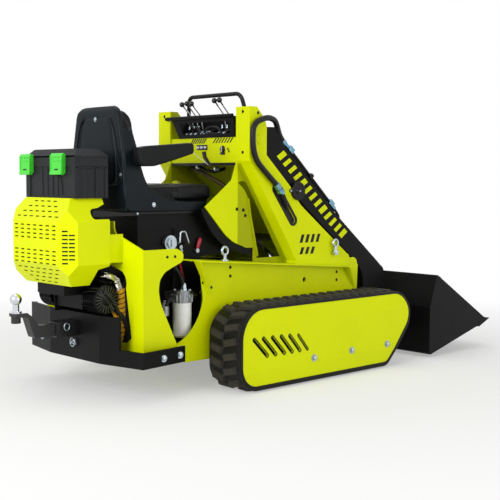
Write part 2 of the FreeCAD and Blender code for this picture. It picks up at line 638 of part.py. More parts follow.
# Counterweight bumper, open low on the right-hand side
rear_loop = [(-1050, -190), (-1050, 190), (-1000, 430), (-745, 393), (-745, 383), (-990, 418), (-1036, 188),
             (-1036, -188), (-990, -418), (-745, -383), (-745, -393), (-1000, -430)]
low = prism([rear_loop], 150, 69, "z")
high_loop = [(-1050, -190), (-1050, 190), (-1000, 430), (-990, 418), (-1036, 188), (-1036, -188), (-1015, -300),
             (-1027, -300)]
high = prism([high_loop], 219, 136, "z")
left = prism([(-1000, 219), (-1000, 355), (-985, 355), (-900, 219)], 403, 16)
rear_floor = prism([(-1037, -189), (-1037, 189), (-990, 419), (-746, 384), (-746, -384), (-990, -419)], 150, 10, "z")
ledge = prism([(-1036, -150), (-1036, 150), (-985, 150), (-985, -150)], 300, 10, "z")
node("rear_bumper", [low, high, left, rear_floor, ledge])
drop_loop = soft([(-1352, 358), (-1352, 373), (-1296, 373), (-1268, 352), (-1240, 312), (-1050, 312), (-1050, 262),
                  (-1262, 262), (-1292, 352)], [0, 0, 8, 10, 20, 0, 0, 12, 6])
node("tow_hitch", [ball((-1335, 0, 430), "ball_radius"), rod((-1335, 0, 372), (-1335, 0, 420), 14),
                   rod((-1335, 0, 373), (-1335, 0, 381), 24), rod((-1335, 0, 330), (-1335, 0, 360), 20),
                   prism([drop_loop], -25, 50), box(-1160, -1050, -33, 33, 254, 320),
                   rod((-1120, -48, 287), (-1120, 48, 287), 8)])

# Engine as a plain block with a finned cylinder, filter and hose
engine = [box(-900, -640, -160, 160, 168, 500), box(-985, -900, -160, 160, 380, 482),
          box(-1166, -985, -104, 104, 440, 816)]
for s in (-1, 1):
    engine.append(rod((-1030, s * 100, 424), (-1030, s * 212, 424), 48))
    for k in range(6):
        engine.append(rod((-1030, s * (128 + 15 * k), 424), (-1030, s * (133 + 15 * k), 424), 62))
engine.append(box(-1075, -985, -104, 104, 376, 440))
node("engine_block", engine)
node("oil_filter", [rod((-645, -250, 240), (-645, -250, 385), 42), rod((-645, -250, 385), (-645, -250, 440), 45),
                    box(-672, -618, -250, -160, 395, 430), cone((-645, -250, 232), (-645, -250, 240), 36, 42)])
node("wrapped_hose", [bent_pipe([(-1010, -104.2, 520), (-1010, -176, 520), (-940, -184, 478), (-940, -184, 168.2)],
                                18, 34)])

# Cap, elbow, U handle and lever on the side of the seat base
cap = [rod((-671, -185.2, 649), (-671, -204, 649), 34), rod((-671, -204, 649), (-671, -214, 649), 23),
       box(-678, -664, -214, -219, 632, 666)]
elbow = [rod((-612, -185.2, 628), (-612, -204, 628), 9), rod((-612, -199, 628), (-604, -199, 608), 6)]
handle = bent_pipe([(-630, -185.2, 646), (-630, -216, 646), (-626, -216, 698), (-598, -216, 698),
                    (-576, -216, 643), (-576, -185.2, 643)], 4, 9)
lever = [rod((-514, -185.2, 608), (-514, -204, 608), 10), rod((-514, -197, 608), (-494, -197, 662), 5.5)]
node("service_fittings", [fuse(cap), fuse(elbow), handle, fuse(lever)])

# Lift arms with cross tubes and an open pocket round each cylinder pin
P_LIFT = (-250, 1120)
P_TILT = (620, 170)
PIN_B = (3, 879)
arm_side = [(-133, 1180), (-85, 1107), (291, 771), (668, 480), (686, 462, 690, 440), (690, 170),
            (628, 108, 566, 170), (516, 361), (514, 440, 480, 497), (35, 836), (-42, 898), (-204, 1047),
            (-285, 1080), (-305, 1130, -262, 1172), (-205, 1178)]
hollow = []
for u, v in ((-92, 46), (92, 46), (102, -70), (-102, -70)):
    hollow.append((PIN_B[0] + 0.79 * u + 0.61 * v, PIN_B[1] - 0.61 * u + 0.79 * v))
arms = []
tools = []
for s in (-1, 1):
    arms.append(side_plate([arm_side], ARM_OUT, S["arm_wide"], s))
    arms.append(rod((PIN_B[0], s * (ARM_OUT - 8), PIN_B[1]), (PIN_B[0], s * (ARM_OUT + 5), PIN_B[1]), 36))
    arms.append(rod((PIN_B[0], s * ARM_IN, PIN_B[1]), (PIN_B[0], s * (ARM_IN + 8), PIN_B[1]), 36))
    for p in (P_LIFT, P_TILT):
        tools.append(rod((p[0], s * (ARM_IN - 10), p[1]), (p[0], s * (ARM_OUT + 10), p[1]), "arm_pin + pin_gap"))
    tools.append(side_plate([hollow], TOWER_MID + 22, 44, s))
arms.append(rod((548, -ARM_IN, 395), (548, ARM_IN, 395), 30))
arms.append(rod((230, -ARM_IN, 757), (230, ARM_IN, 757), 30))
for y in (-36, 24):
    arms.append(prism([soft([(200, 757), (225, 724), (290, 698), (318, 722), (300, 748), (240, 790)],
                            [0, 0, 22, 22, 22, 0])], y, 12))
body = cut(fuse(arms), tools)
node("lift_arms", [body, rod((290, -36, 722), (290, 36, 722), 12)])


# Lift cylinders, drawn at the length they have with the arms down
def toward(p, q, d):
    size = math.dist(p, q)
    return (p[0] + (q[0] - p[0]) * d / size, p[1] + (q[1] - p[1]) * d / size)


def at(p, y):
    return (p[0], y, p[1])


def barrel(a, q, y, eye_r, eye_half, radius, bore_radius, pin, size, bottom):
    """Cylinder barrel with its eye at a, open towards q."""
    parts = [rod((a[0], y - eye_half, a[1]), (a[0], y + eye_half, a[1]), eye_r),
             rod(at(toward(a, q, eye_r - 8), y), at(toward(a, q, size), y), radius),
             rod(at(toward(a, q, size - 26), y), at(toward(a, q, size), y), radius + 2)]
    tools = [rod(at(toward(a, q, bottom), y), at(toward(a, q, size + 10), y), bore_radius),
             rod((a[0], y - 60, a[1]), (a[0], y + 60, a[1]), pin)]
    return parts, tools


PIN_A = (75, 400)
size = math.dist(PIN_A, PIN_B)
parts, tools = barrel(PIN_A, PIN_B, -TOWER_MID, 30, 17, S["barrel_radius"], S["rod_radius"] + S["pin_gap"],
                      S["arm_pin"] + S["pin_gap"], size - 60, 44)
for d in (60, size - 85):
    p = toward(PIN_A, PIN_B, d)
    q = (p[0] + 34, p[1] + 5)
    parts.append(rod(at(p, -TOWER_MID), at(q, -TOWER_MID), 8))
pair("lift_barrel", parts, tools)
pair("lift_rod", [rod((PIN_B[0], -TOWER_MID - 15, PIN_B[1]), (PIN_B[0], -TOWER_MID + 15, PIN_B[1]), 25),
                  rod(at(toward(PIN_A, PIN_B, 50), -TOWER_MID), at(toward(PIN_A, PIN_B, size - 18), -TOWER_MID),
                      "rod_radius")])

# Tilt cylinder on the centre plane
PIN_C = (290, 722)
PIN_D = (700, 400)
size = math.dist(PIN_C, PIN_D)
parts, tools = barrel(PIN_C, PIN_D, 0, 24, 21, S["tilt_barrel_radius"], S["tilt_rod_radius"] + S["pin_gap"],
                      12 + S["pin_gap"], 390, 50)
for d in (60, 355):
    p = toward(PIN_C, PIN_D, d)
    parts.append(rod(at(p, 0), (p[0] + 20, 0, p[1] + 27), 8))
node("tilt_barrel", parts, tools)
node("tilt_rod", [rod((PIN_D[0], -19, PIN_D[1]), (PIN_D[0], 19, PIN_D[1]), 24),
                  rod(at(toward(PIN_C, PIN_D, 110), 0), at(toward(PIN_C, PIN_D, size - 18), 0), "tilt_rod_radius")])

# Tilting quick-attach plate
PLATE_X = 775
attach = [box(PLATE_X, 797, -252, 252, 60, 330)]
for s in (-1, 1):
    cheek = soft([(566, 170), (590, 116), (640, 112), (777, 80), (777, 312), (660, 222), (590, 224)],
                 [40, 40, 0, 0, 0, 20, 40])
    attach.append(side_plate([cheek], ARM_IN - 5, 14, s))
    attach.append(rod((P_TILT[0], s * (ARM_IN - 12), P_TILT[1]), (P_TILT[0], s * (ARM_OUT + 3), P_TILT[1]), "arm_pin"))
    attach.append(prism([(PLATE_X + 4, 300), (PLATE_X + 4, 366), (797, 366), (797, 300)], s * 150 - 30, 60))
for y in (-37, 25):
    attach.append(prism([soft([(668, 400), (690, 430), (720, 424), (797, 326), (797, 200), (776, 200), (690, 368)],
                              [22, 22, 22, 0, 0, 0, 22])], y, 12))
slots = [box(PLATE_X - 5, 802, s * 60, s * 200, 110, 250) for s in (-1, 1)]
node("quick_attach", attach, slots)

# Bucket with a bent back, a curled floor and a separate edge plate
t = S["bucket_sheet"]
skin = [(861, 434), (853, 431), (797, 266), (797, 34), (800, 20, 816, 18), (1262, 132), (1262, 140), (820, 31),
        (808, 32, 806, 46), (806, 262), (869, 431)]
edge = [(1225, 126), (1257, 121), (1359, 162), (1262, 140), (1262, 132)]
cheek = [(861, 434), (797, 266), (797, 34), (800, 20, 816, 18), (1262, 132), (1325, 158)]
rim = [(856, 434), (890, 420), (884, 408), (852, 426)]
bw = S["bucket_wide"]
node("bucket", [prism([skin], "-bucket_wide / 2", "bucket_wide"),
                prism([edge], "-bucket_wide / 2", "bucket_wide"),
                prism([rim], "-bucket_wide / 2", "bucket_wide"),
                prism([cheek], "-bucket_wide / 2", "bucket_sheet"),
                prism([cheek], "bucket_wide / 2 - bucket_sheet", "bucket_sheet")])

# Lifting eyes on the fenders and on the towers


def lip_top(x):
    """Height of the fender's upper face."""
    return LIP_REAR[1] + (LIP_FRONT[1] - LIP_REAR[1]) * (x - LIP_REAR[0]) / (LIP_FRONT[0] - LIP_REAR[0])


def eye(x, y, foot_z, low_z):
    """Ring of round bar with a bored eye on a short stem."""
    body = fuse([rod((x, y, low_z), (x, y, foot_z + 34), 8), rod((x, y, foot_z), (x, y, foot_z + 8), 17),
                 ring((x, y, foot_z + 46), 17, 6)])
    return cut(body, [rod((x, y - 10, foot_z + 46), (x, y + 10, foot_z + 46), "eye_bore")])


eyes = []
FENDER_EYE_X = -478
TOWER_EYE_X = 264
for s in (-1, 1):
    eyes.append(eye(FENDER_EYE_X, s * (S["hull_side"] + 20), lip_top(FENDER_EYE_X - 17) + 0.1,
                    lip_top(FENDER_EYE_X - 8) + 0.1))
    y = s * (TOWER_OUT + 17)
    eyes.append(fuse([box(252, 276, s * (TOWER_OUT + 0.1), s * (TOWER_OUT + 26), 560, 572),
                      eye(TOWER_EYE_X, y, 572, 565)]))
node("eye_bolts", eyes)

# Steel lines with clamps on the right arm, braided hose and end fittings
U = (0.746, -0.666)
N = (0.666, 0.746)


def on_arm(u, v):
    """Point above the upper edge of the arm, u along it and v off it."""
    return (-85 + U[0] * u + N[0] * v, 1107 + U[1] * u + N[1] * v)


lines = []
for y in (-TOWER_MID - 8, -TOWER_MID + 8):
    p, q = on_arm(40, 13), on_arm(480, 13)
    lines.append(rod((p[0], y, p[1]), (q[0], y, q[1]), 5))
for u in (40, 440):
    clamp = [on_arm(u, 0), on_arm(u + 34, 0), on_arm(u + 34, 26), on_arm(u, 26)]
    lines.append(prism([clamp], -TOWER_MID - 17, 34))
p, q = on_arm(474, 13), on_arm(520, 13)
lines.append(rod((p[0], -TOWER_MID - 8, p[1]), (q[0], -TOWER_MID - 8, q[1]), 10))
node("arm_tubes", lines)
p, q = on_arm(-10, 13), on_arm(39.8, 13)
HOSE_Y = -TOWER_OUT - 17
path = [(-150, HOSE_Y, 905), (-296, HOSE_Y, 1030), (-312, HOSE_Y, 1182), (-222, HOSE_Y + 2, 1222),
        (-124, -TOWER_MID - 28, 1206), (p[0], -TOWER_MID, p[1]), (q[0], -TOWER_MID, q[1])]
ends = [rod((-146, HOSE_Y, 901), (-118, HOSE_Y, 868), 14),
        rod((-132, HOSE_Y, 884), (-132, -TOWER_OUT - 0.2, 884), 12)]
node("arm_hose", [bent_pipe(path, 10, 38)] + ends)

doc.recompute()
os.makedirs("parts", exist_ok=True)
for obj in doc.Objects:
    if "Invalid" in obj.State or "Error" in obj.State:
        raise RuntimeError("%s (%s) is in state %s" % (obj.Name, obj.Label, obj.State))
for obj in NODES:
    if obj.Shape.isNull() or not obj.Shape.isValid():
        raise RuntimeError("%s has no valid shape" % obj.Label)
    obj.Shape.exportStep("parts/%s.step" % obj.Label)
    b = obj.Shape.BoundBox
    print("%-20s solids %d  x %.0f..%.0f  y %.0f..%.0f  z %.0f..%.0f" % (
        obj.Label, len(obj.Shape.Solids), b.XMin, b.XMax, b.YMin, b.YMax, b.ZMin, b.ZMax))
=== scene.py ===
# %% [markdown]
# # A ride-on tracked mini loader
# The CAD file holds every plate, pin and joint of this machine. This lesson dresses it: paint and rubber, sewn
# pads, bolts, hoses and the small engine parts. The imported model is loaded first.

# %% Load the machine
import math

import bmesh
import bpy
from mathutils import Matrix, Vector


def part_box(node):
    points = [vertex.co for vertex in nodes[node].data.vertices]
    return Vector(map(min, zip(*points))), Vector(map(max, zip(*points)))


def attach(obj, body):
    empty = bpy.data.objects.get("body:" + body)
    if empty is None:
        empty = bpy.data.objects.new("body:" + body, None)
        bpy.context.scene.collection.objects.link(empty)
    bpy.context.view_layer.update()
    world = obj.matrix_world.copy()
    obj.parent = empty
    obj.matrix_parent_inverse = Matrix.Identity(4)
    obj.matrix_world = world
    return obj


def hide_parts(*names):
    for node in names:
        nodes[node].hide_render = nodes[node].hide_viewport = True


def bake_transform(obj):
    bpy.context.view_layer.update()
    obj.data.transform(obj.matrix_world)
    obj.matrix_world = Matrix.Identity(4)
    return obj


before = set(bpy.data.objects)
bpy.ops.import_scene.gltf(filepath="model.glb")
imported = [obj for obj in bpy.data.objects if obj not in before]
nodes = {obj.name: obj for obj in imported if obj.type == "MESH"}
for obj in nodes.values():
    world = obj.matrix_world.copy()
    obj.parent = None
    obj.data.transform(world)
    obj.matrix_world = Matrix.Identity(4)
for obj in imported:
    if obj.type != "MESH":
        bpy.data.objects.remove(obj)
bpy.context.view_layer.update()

# %% [markdown]
# ## Small helpers
# Colours are written as the hex codes a painter would read off a chart, and one function turns them
# into the linear values that a shader wants. Another adds one node with its settings and its links.

# %% Colour and node helpers
MM = 0.001


def srgb(code):
    """Linear RGBA of a hex colour."""
    parts = [int(code[i:i + 2], 16) / 255 for i in (1, 3, 5)]
    return tuple(c / 12.92 if c <= 0.04045 else ((c + 0.055) / 1.055) ** 2.4 for c in parts) + (1.0,)


def add(tree, kind, settings=None, links=None):
    """One node with its settings (properties or input sockets) and its incoming links."""
    node = tree.nodes.new(kind)
    for key, value in (settings or {}).items():
        if isinstance(key, str) and hasattr(node, key) and key not in node.inputs:
            setattr(node, key, value)
        else:
            node.inputs[key].default_value = value
    for key, source in (links or {}).items():
        tree.links.new(source, node.inputs[key])
    return node


def start_material(name):
    """An empty material with a shader, an output and object coordinates."""
    mat = bpy.data.materials.new(name)
    mat.use_nodes = True
    tree = mat.node_tree
    tree.nodes.clear()
    shader = add(tree, "ShaderNodeBsdfPrincipled")
    add(tree, "ShaderNodeOutputMaterial", links={"Surface": shader.outputs[0]})
    place = add(tree, "ShaderNodeTexCoord").outputs["Object"]
    return mat, tree, shader, place


print("helpers ready")

# %% [markdown]
# ## Camera, floor and light
# The picture was taken from behind and to the right, a little above the tracks, with a long lens. The
# camera stands where the ball hitch, the tracks and the tower tops of the model fall on theirs. The
# studio is white: a pale floor that fades to white with distance, a soft sky and two large softboxes.

# %% Camera
heading, pitch, roll = math.radians(46.5), math.radians(4.1), math.radians(0.3)
ahead = Vector((math.cos(heading) * math.cos(pitch), math.sin(heading) * math.cos(pitch), -math.sin(pitch)))
level = Vector((math.sin(heading), -math.cos(heading), 0))
above = level.cross(ahead)
right = level * math.cos(roll) + above * math.sin(roll)
upward = above * math.cos(roll) - level * math.sin(roll)
camera_data = bpy.data.cameras.new("camera")
camera_data.sensor_width = 36
camera_data.lens = 36 * 994.3 / 500
camera_data.clip_end = 200
camera = bpy.data.objects.new("camera", camera_data)
turn = Matrix((right, upward, -ahead)).transposed().to_4x4()
camera.matrix_world = Matrix.Translation((-3.46024, -3.65519, 0.93667)) @ turn
bpy.context.collection.objects.link(camera)
bpy.context.scene.camera = camera
bpy.context.scene.view_settings.view_transform = "Standard"
print("lens", round(camera_data.lens, 1), "mm")

# %% Floor, sky and softboxes
floor_mesh = bpy.data.meshes.new("floor")
floor_mesh.from_pydata([(-60, -60, 0), (60, -60, 0), (60, 60, 0), (-60, 60, 0)], [], [(0, 1, 2, 3)])
floor = bpy.data.objects.new("floor", floor_mesh)
bpy.context.collection.objects.link(floor)

floor_mat = bpy.data.materials.new("white studio floor")
floor_mat.use_nodes = True
tree = floor_mat.node_tree
tree.nodes.clear()
matte = add(tree, "ShaderNodeBsdfDiffuse", {"Color": srgb("#EDEDEB")})
glow = add(tree, "ShaderNodeEmission", {"Color": (1, 1, 1, 1), "Strength": 1.0})
spot = add(tree, "ShaderNodeTexCoord").outputs["Object"]
reach = add(tree, "ShaderNodeVectorMath", {"operation": "LENGTH"}, {0: spot})
fade = add(tree, "ShaderNodeMapRange", {"From Min": 1.2, "From Max": 3.2, "To Min": 0.35, "To Max": 1.0},
           {"Value": reach.outputs["Value"]})
path = add(tree, "ShaderNodeLightPath")
seen = add(tree, "ShaderNodeMath", {"operation": "MAXIMUM"},
           {0: path.outputs["Is Camera Ray"], 1: path.outputs["Is Glossy Ray"]})
seen = add(tree, "ShaderNodeMath", {"operation": "MAXIMUM"},
           {0: seen.outputs[0], 1: path.outputs["Is Transmission Ray"]})
share = add(tree, "ShaderNodeMath", {"operation": "MULTIPLY"}, {0: seen.outputs[0], 1: fade.outputs[0]})
mix = add(tree, "ShaderNodeMixShader", links={0: share.outputs[0], 1: matte.outputs[0], 2: glow.outputs[0]})
add(tree, "ShaderNodeOutputMaterial", links={"Surface": mix.outputs[0]})
floor_mesh.materials.append(floor_mat)

world = bpy.data.worlds.new("studio")
bpy.context.scene.world = world
world.use_nodes = True
tree = world.node_tree
tree.nodes.clear()
sky = add(tree, "ShaderNodeBackground", {"Color": (1, 1, 1, 1), "Strength": 0.55})
backdrop = add(tree, "ShaderNodeBackground", {"Color": (1, 1, 1, 1), "Strength": 1.0})
path = add(tree, "ShaderNodeLightPath")
seen = add(tree, "ShaderNodeMath", {"operation": "MAXIMUM"},
           {0: path.outputs["Is Camera Ray"], 1: path.outputs["Is Glossy Ray"]})
seen = add(tree, "ShaderNodeMath", {"operation": "MAXIMUM"},
           {0: seen.outputs[0], 1: path.outputs["Is Transmission Ray"]})
mix = add(tree, "ShaderNodeMixShader", links={0: seen.outputs[0], 1: sky.outputs[0],
                                              2: backdrop.outputs[0]})
add(tree, "ShaderNodeOutputWorld", links={"Surface": mix.outputs[0]})

SOFTBOXES = [  # name, where it stands, width, power in watts
    ("softbox_rear", (-5.5, -1.2, 2.6), 3.0, 190),
    ("softbox_side", (0.8, -6.0, 1.8), 3.0, 80),
    ("softbox_top", (0.0, 1.0, 5.5), 4.0, 50),
]
for name, spot, wide, power in SOFTBOXES:
    lamp_data = bpy.data.lights.new(name, "AREA")
    lamp_data.shape = "SQUARE"
    lamp_data.size = wide
    lamp_data.energy = power
    lamp = bpy.data.objects.new(name, lamp_data)
    lamp.location = spot
    lamp.rotation_mode = "QUATERNION"
    lamp.rotation_quaternion = (Vector((0, 0, 0.6)) - Vector(spot)).to_track_quat("-Z", "Y")
    bpy.context.collection.objects.link(lamp)
print("softboxes:", len(SOFTBOXES))

# %% [markdown]
# ## Painted steel
# The sheet metal is powder coated: a thick, even film with a faint orange-peel ripple of a few
# millimetres and a soft gloss. Two ripples of noise drive the relief and a larger one lets the tone
# drift a little, as light does on real panels. The black parts have the same film, more textured.
# On the towers the inner plates carry a painted shade: a darker tone where they stand in shade.

# %% Powder coats


def powder_coat(name, colour, dusty, gloss, ripple_mm, relief, specular=0.2, inner=None):
    """Enamel film with orange peel, slight change of tone and uneven gloss.

    Where inner is given, it is a painted shade: a darker tone laid on the inner plates of the towers, inward of
    the outer sheets and ahead of the rear flange, in place of the shade they stand in."""
    mat, tree, shader, place = start_material(name)
    patch = add(tree, "ShaderNodeTexNoise", {"Scale": 1 / (220 * MM), "Detail": 4.0, "Roughness": 0.6},
                {"Vector": place})
    tone = add(tree, "ShaderNodeMix", {"data_type": "RGBA", 6: srgb(colour), 7: srgb(dusty)},
               {0: patch.outputs[0]})
    # Painted shade: inward of the outer sheets and ahead of the rear flange, the inner tower plates take the
    # darker inner tone.
    if inner:
        axes = add(tree, "ShaderNodeSeparateXYZ", links={0: place})
        off = add(tree, "ShaderNodeMath", {"operation": "ABSOLUTE"}, {0: axes.outputs["Y"]})
        shade_band = add(tree, "ShaderNodeMath", {"operation": "LESS_THAN", 1: 270 * MM}, {0: off.outputs[0]})
        ahead = add(tree, "ShaderNodeMath", {"operation": "GREATER_THAN", 1: -308 * MM},
                    {0: axes.outputs["X"]})
        both = add(tree, "ShaderNodeMath", {"operation": "MULTIPLY"},
                   {0: shade_band.outputs[0], 1: ahead.outputs[0]})
        tone = add(tree, "ShaderNodeMix", {"data_type": "RGBA", 7: srgb(inner)},
                   {0: both.outputs[0], 6: tone.outputs[2]})
    tree.links.new(tone.outputs[2], shader.inputs["Base Color"])
    peel = add(tree, "ShaderNodeTexNoise", {"Scale": 1 / (ripple_mm * MM), "Detail": 2.0},
               {"Vector": place})
    sheen = add(tree, "ShaderNodeMapRange", {"From Min": 0.3, "From Max": 0.7, "To Min": gloss - 0.06,
                                             "To Max": gloss + 0.08}, {"Value": patch.outputs[0]})
    tree.links.new(sheen.outputs[0], shader.inputs["Roughness"])
    bump = add(tree, "ShaderNodeBump", {"Strength": relief, "Distance": 0.4 * MM},
               {"Height": peel.outputs[0]})
    tree.links.new(bump.outputs[0], shader.inputs["Normal"])
    shader.inputs["Specular IOR Level"].default_value = specular
    return mat


lime_paint = powder_coat("lime powder coat", "#DBE600", "#CFDA00", 0.34, 4, 0.1, 0.1)
# The towers carry a painted shade: their inner plates are darkened to #A4AC06.
tower_paint_with_painted_shade = powder_coat("lime powder coat with painted shade on the towers", "#DBE600", "#CFDA00", 0.34, 4, 0.1, 0.1,
                          "#A4AC06")
black_paint = powder_coat("black powder coat", "#0B0B0B", "#101010", 0.42, 3, 0.2, 0.1)
satin_black = powder_coat("satin black paint", "#0A0A0A", "#0F0F0F", 0.3, 5, 0.08, 0.24)
red_enamel = powder_coat("dark red dipped plastic", "#B0182C", "#9A1226", 0.35, 3, 0.1, 0.5)
print("powder coats:", 5)

# %% [markdown]
# ## Bare and plated metal
# Pins, rods and fittings are steel. Hard chrome on the rods and the ball is a clean mirror; zinc
# plating is bluer and duller, with a crystalline cloudiness; cast aluminium and iron are matt and
# pebbled from the sand of the mould.

# %% Metals


def metal(name, bright, dull, gloss, cloud_mm, relief, grain_mm):
    """Metal whose tone and polish vary in clouds of a given size."""
    mat, tree, shader, place = start_material(name)
    cloud = add(tree, "ShaderNodeTexNoise", {"Scale": 1 / (cloud_mm * MM), "Detail": 5.0},
                {"Vector": place})
    tone = add(tree, "ShaderNodeMix", {"data_type": "RGBA", 6: srgb(bright), 7: srgb(dull)},
               {0: cloud.outputs[0]})
    tree.links.new(tone.outputs[2], shader.inputs["Base Color"])
    polish = add(tree, "ShaderNodeMapRange", {"From Min": 0.25, "From Max": 0.75, "To Min": gloss * 0.75,
                                              "To Max": gloss * 1.3}, {"Value": cloud.outputs[0]})
    tree.links.new(polish.outputs[0], shader.inputs["Roughness"])
    grit = add(tree, "ShaderNodeTexNoise", {"Scale": 1 / (grain_mm * MM), "Detail": 3.0}, {"Vector": place})
    bump = add(tree, "ShaderNodeBump", {"Strength": relief, "Distance": 0.3 * MM},
               {"Height": grit.outputs[0]})
    tree.links.new(bump.outputs[0], shader.inputs["Normal"])
    shader.inputs["Metallic"].default_value = 1.0
    return mat


hard_chrome = metal("hard chrome", "#E8E9EB", "#D5D6D9", 0.08, 60, 0.02, 4)
zinc_plate = metal("blue zinc plate", "#C9D2D8", "#9AA6AE", 0.3, 18, 0.08, 2)
blue_zinc = metal("blue passivated zinc", "#8DB6C8", "#4E8098", 0.34, 10, 0.1, 2)
cast_alloy = metal("cast aluminium", "#A9ABAC", "#8C8E90", 0.48, 25, 0.4, 3)
cast_bright = metal("polished exhaust steel", "#D9D6C8", "#A9A690", 0.22, 14, 0.15, 3)
fin_edges = metal("bare fin edges", "#6C6D6F", "#3E3F41", 0.4, 8, 0.15, 2)
cast_dark = metal("blackened fins", "#2A2A2C", "#18181A", 0.42, 20, 0.2, 3)
print("metals:", 7)

# %% [markdown]
# Some CAD parts are one piece in the file and two materials on the machine: a white filter under a cast
# head, a chrome lever under a black knob, a plated ball on a painted shank. The height above ground
# tells them apart, so one shader reads the object's Z and switches between the two finishes.

# %% Finishes that change at a height


def two_finishes(name, low, high, height_mm):
    """Below the height one (colour, metallic, roughness), above it the other."""
    mat, tree, shader, place = start_material(name)
    split = add(tree, "ShaderNodeSeparateXYZ", links={0: place})
    above = add(tree, "ShaderNodeMath", {"operation": "GREATER_THAN", 1: height_mm * MM},
                {0: split.outputs["Z"]})
    cloud = add(tree, "ShaderNodeTexNoise", {"Scale": 1 / (15 * MM), "Detail": 4.0}, {"Vector": place})
    tone = add(tree, "ShaderNodeMix", {"data_type": "RGBA", 6: srgb(low[0]), 7: srgb(high[0])},
               {0: above.outputs[0]})
    worn = add(tree, "ShaderNodeMapRange", {"To Min": 0.86, "To Max": 1.0}, {"Value": cloud.outputs[0]})
    drift = add(tree, "ShaderNodeMix", {"data_type": "RGBA", "blend_type": "MULTIPLY", 0: 1.0},
                {6: tone.outputs[2], 7: worn.outputs[0]})
    tree.links.new(drift.outputs[2], shader.inputs["Base Color"])
    for socket, k in (("Metallic", 1), ("Roughness", 2)):
        value = add(tree, "ShaderNodeMix", {"data_type": "FLOAT", 2: low[k], 3: high[k]},
                    {0: above.outputs[0]})
        tree.links.new(value.outputs[0], shader.inputs[socket])
    grit = add(tree, "ShaderNodeTexNoise", {"Scale": 1 / (3 * MM), "Detail": 3.0}, {"Vector": place})
    bump = add(tree, "ShaderNodeBump", {"Strength": 0.12, "Distance": 0.3 * MM},
               {"Height": grit.outputs[0]})
    tree.links.new(bump.outputs[0], shader.inputs["Normal"])
    return mat


filter_finish = two_finishes("filter can and cast head", ("#FCFCFA", 0.0, 0.28), ("#8F9193", 1.0, 0.42),
                             386)
lever_finish = two_finishes("plated lever and knob", ("#C9CCCF", 1.0, 0.2), ("#0C0C0D", 0.0, 0.22), 1284)
hitch_finish = two_finishes("painted shank and plated ball", ("#141414", 0.0, 0.4), ("#DDE0E4", 1.0, 0.12),
                            372.5)
print("split finishes:", 3)

# %% [markdown]
# ## Rubber, plastic and vinyl
# The tracks are moulded rubber, dusty brown-black and matt. The toolbox and knobs are injection
# moulded plastic with a fine spark-eroded grain. The seat is soft vinyl: a leather-like grain and a
# broad, dull highlight.

# %% Polymers


def polymer(name, colour, other, gloss, patch_mm, cell_mm, relief, specular=0.5):
    """Moulded rubber or plastic: cellular grain with a drifting tone."""
    mat, tree, shader, place = start_material(name)
    patch = add(tree, "ShaderNodeTexNoise", {"Scale": 1 / (patch_mm * MM), "Detail": 6.0,
                                             "Roughness": 0.65},
                {"Vector": place})
    tone = add(tree, "ShaderNodeMix", {"data_type": "RGBA", 6: srgb(colour), 7: srgb(other)},
               {0: patch.outputs[0]})
    tree.links.new(tone.outputs[2], shader.inputs["Base Color"])
    cells = add(tree, "ShaderNodeTexVoronoi", {"Scale": 1 / (cell_mm * MM)}, {"Vector": place})
    bump = add(tree, "ShaderNodeBump", {"Strength": relief, "Distance": 0.5 * MM},
               {"Height": cells.outputs[0]})
    tree.links.new(bump.outputs[0], shader.inputs["Normal"])
    matt = add(tree, "ShaderNodeMapRange", {"From Min": 0.3, "From Max": 0.7, "To Min": gloss - 0.07,
                                            "To Max": gloss + 0.07}, {"Value": patch.outputs[0]})
    tree.links.new(matt.outputs[0], shader.inputs["Roughness"])
    shader.inputs["Specular IOR Level"].default_value = specular
    return mat


tread_rubber = polymer("moulded track rubber", "#24221D", "#38342C", 0.72, 30, 5, 0.5, 0.3)
band_rubber = polymer("smooth belt rubber", "#111111", "#191816", 0.5, 60, 4, 0.15, 0.16)
hose_rubber = polymer("hose rubber", "#121212", "#1A1A19", 0.5, 20, 3, 0.3, 0.25)
box_plastic = polymer("grained toolbox plastic", "#1F2022", "#252628", 0.5, 120, 2.5, 0.2, 0.15)
knob_plastic = polymer("knob plastic", "#101011", "#161617", 0.25, 30, 6, 0.05)
latch_plastic = polymer("green latch plastic", "#45D236", "#3BC42E", 0.3, 60, 5, 0.08)
shell_plastic = polymer("moulded seat shell", "#10161A", "#141B1F", 0.34, 150, 3, 0.1, 0.12)
seat_vinyl = polymer("seat vinyl", "#0E0F11", "#131416", 0.4, 90, 4, 0.2, 0.13)
hose_wrap = polymer("orange spiral wrap", "#FFC42A", "#F5B01C", 0.4, 40, 6, 0.15, 0.2)
white_plastic = polymer("white switch plastic", "#E2E3E0", "#D6D7D4", 0.3, 20, 5, 0.05)
brown_hose = polymer("aged brown hose", "#4A3A16", "#5A4820", 0.45, 25, 3, 0.3)
braid_rubber = polymer("braided hose cover", "#0E0E0F", "#1C1C1D", 0.36, 6, 2, 0.3, 0.22)
print("polymers:", 12)

# %% [markdown]
# ## Paint every CAD part
# A part whose shape is already right keeps its mesh and only gets its finish here.

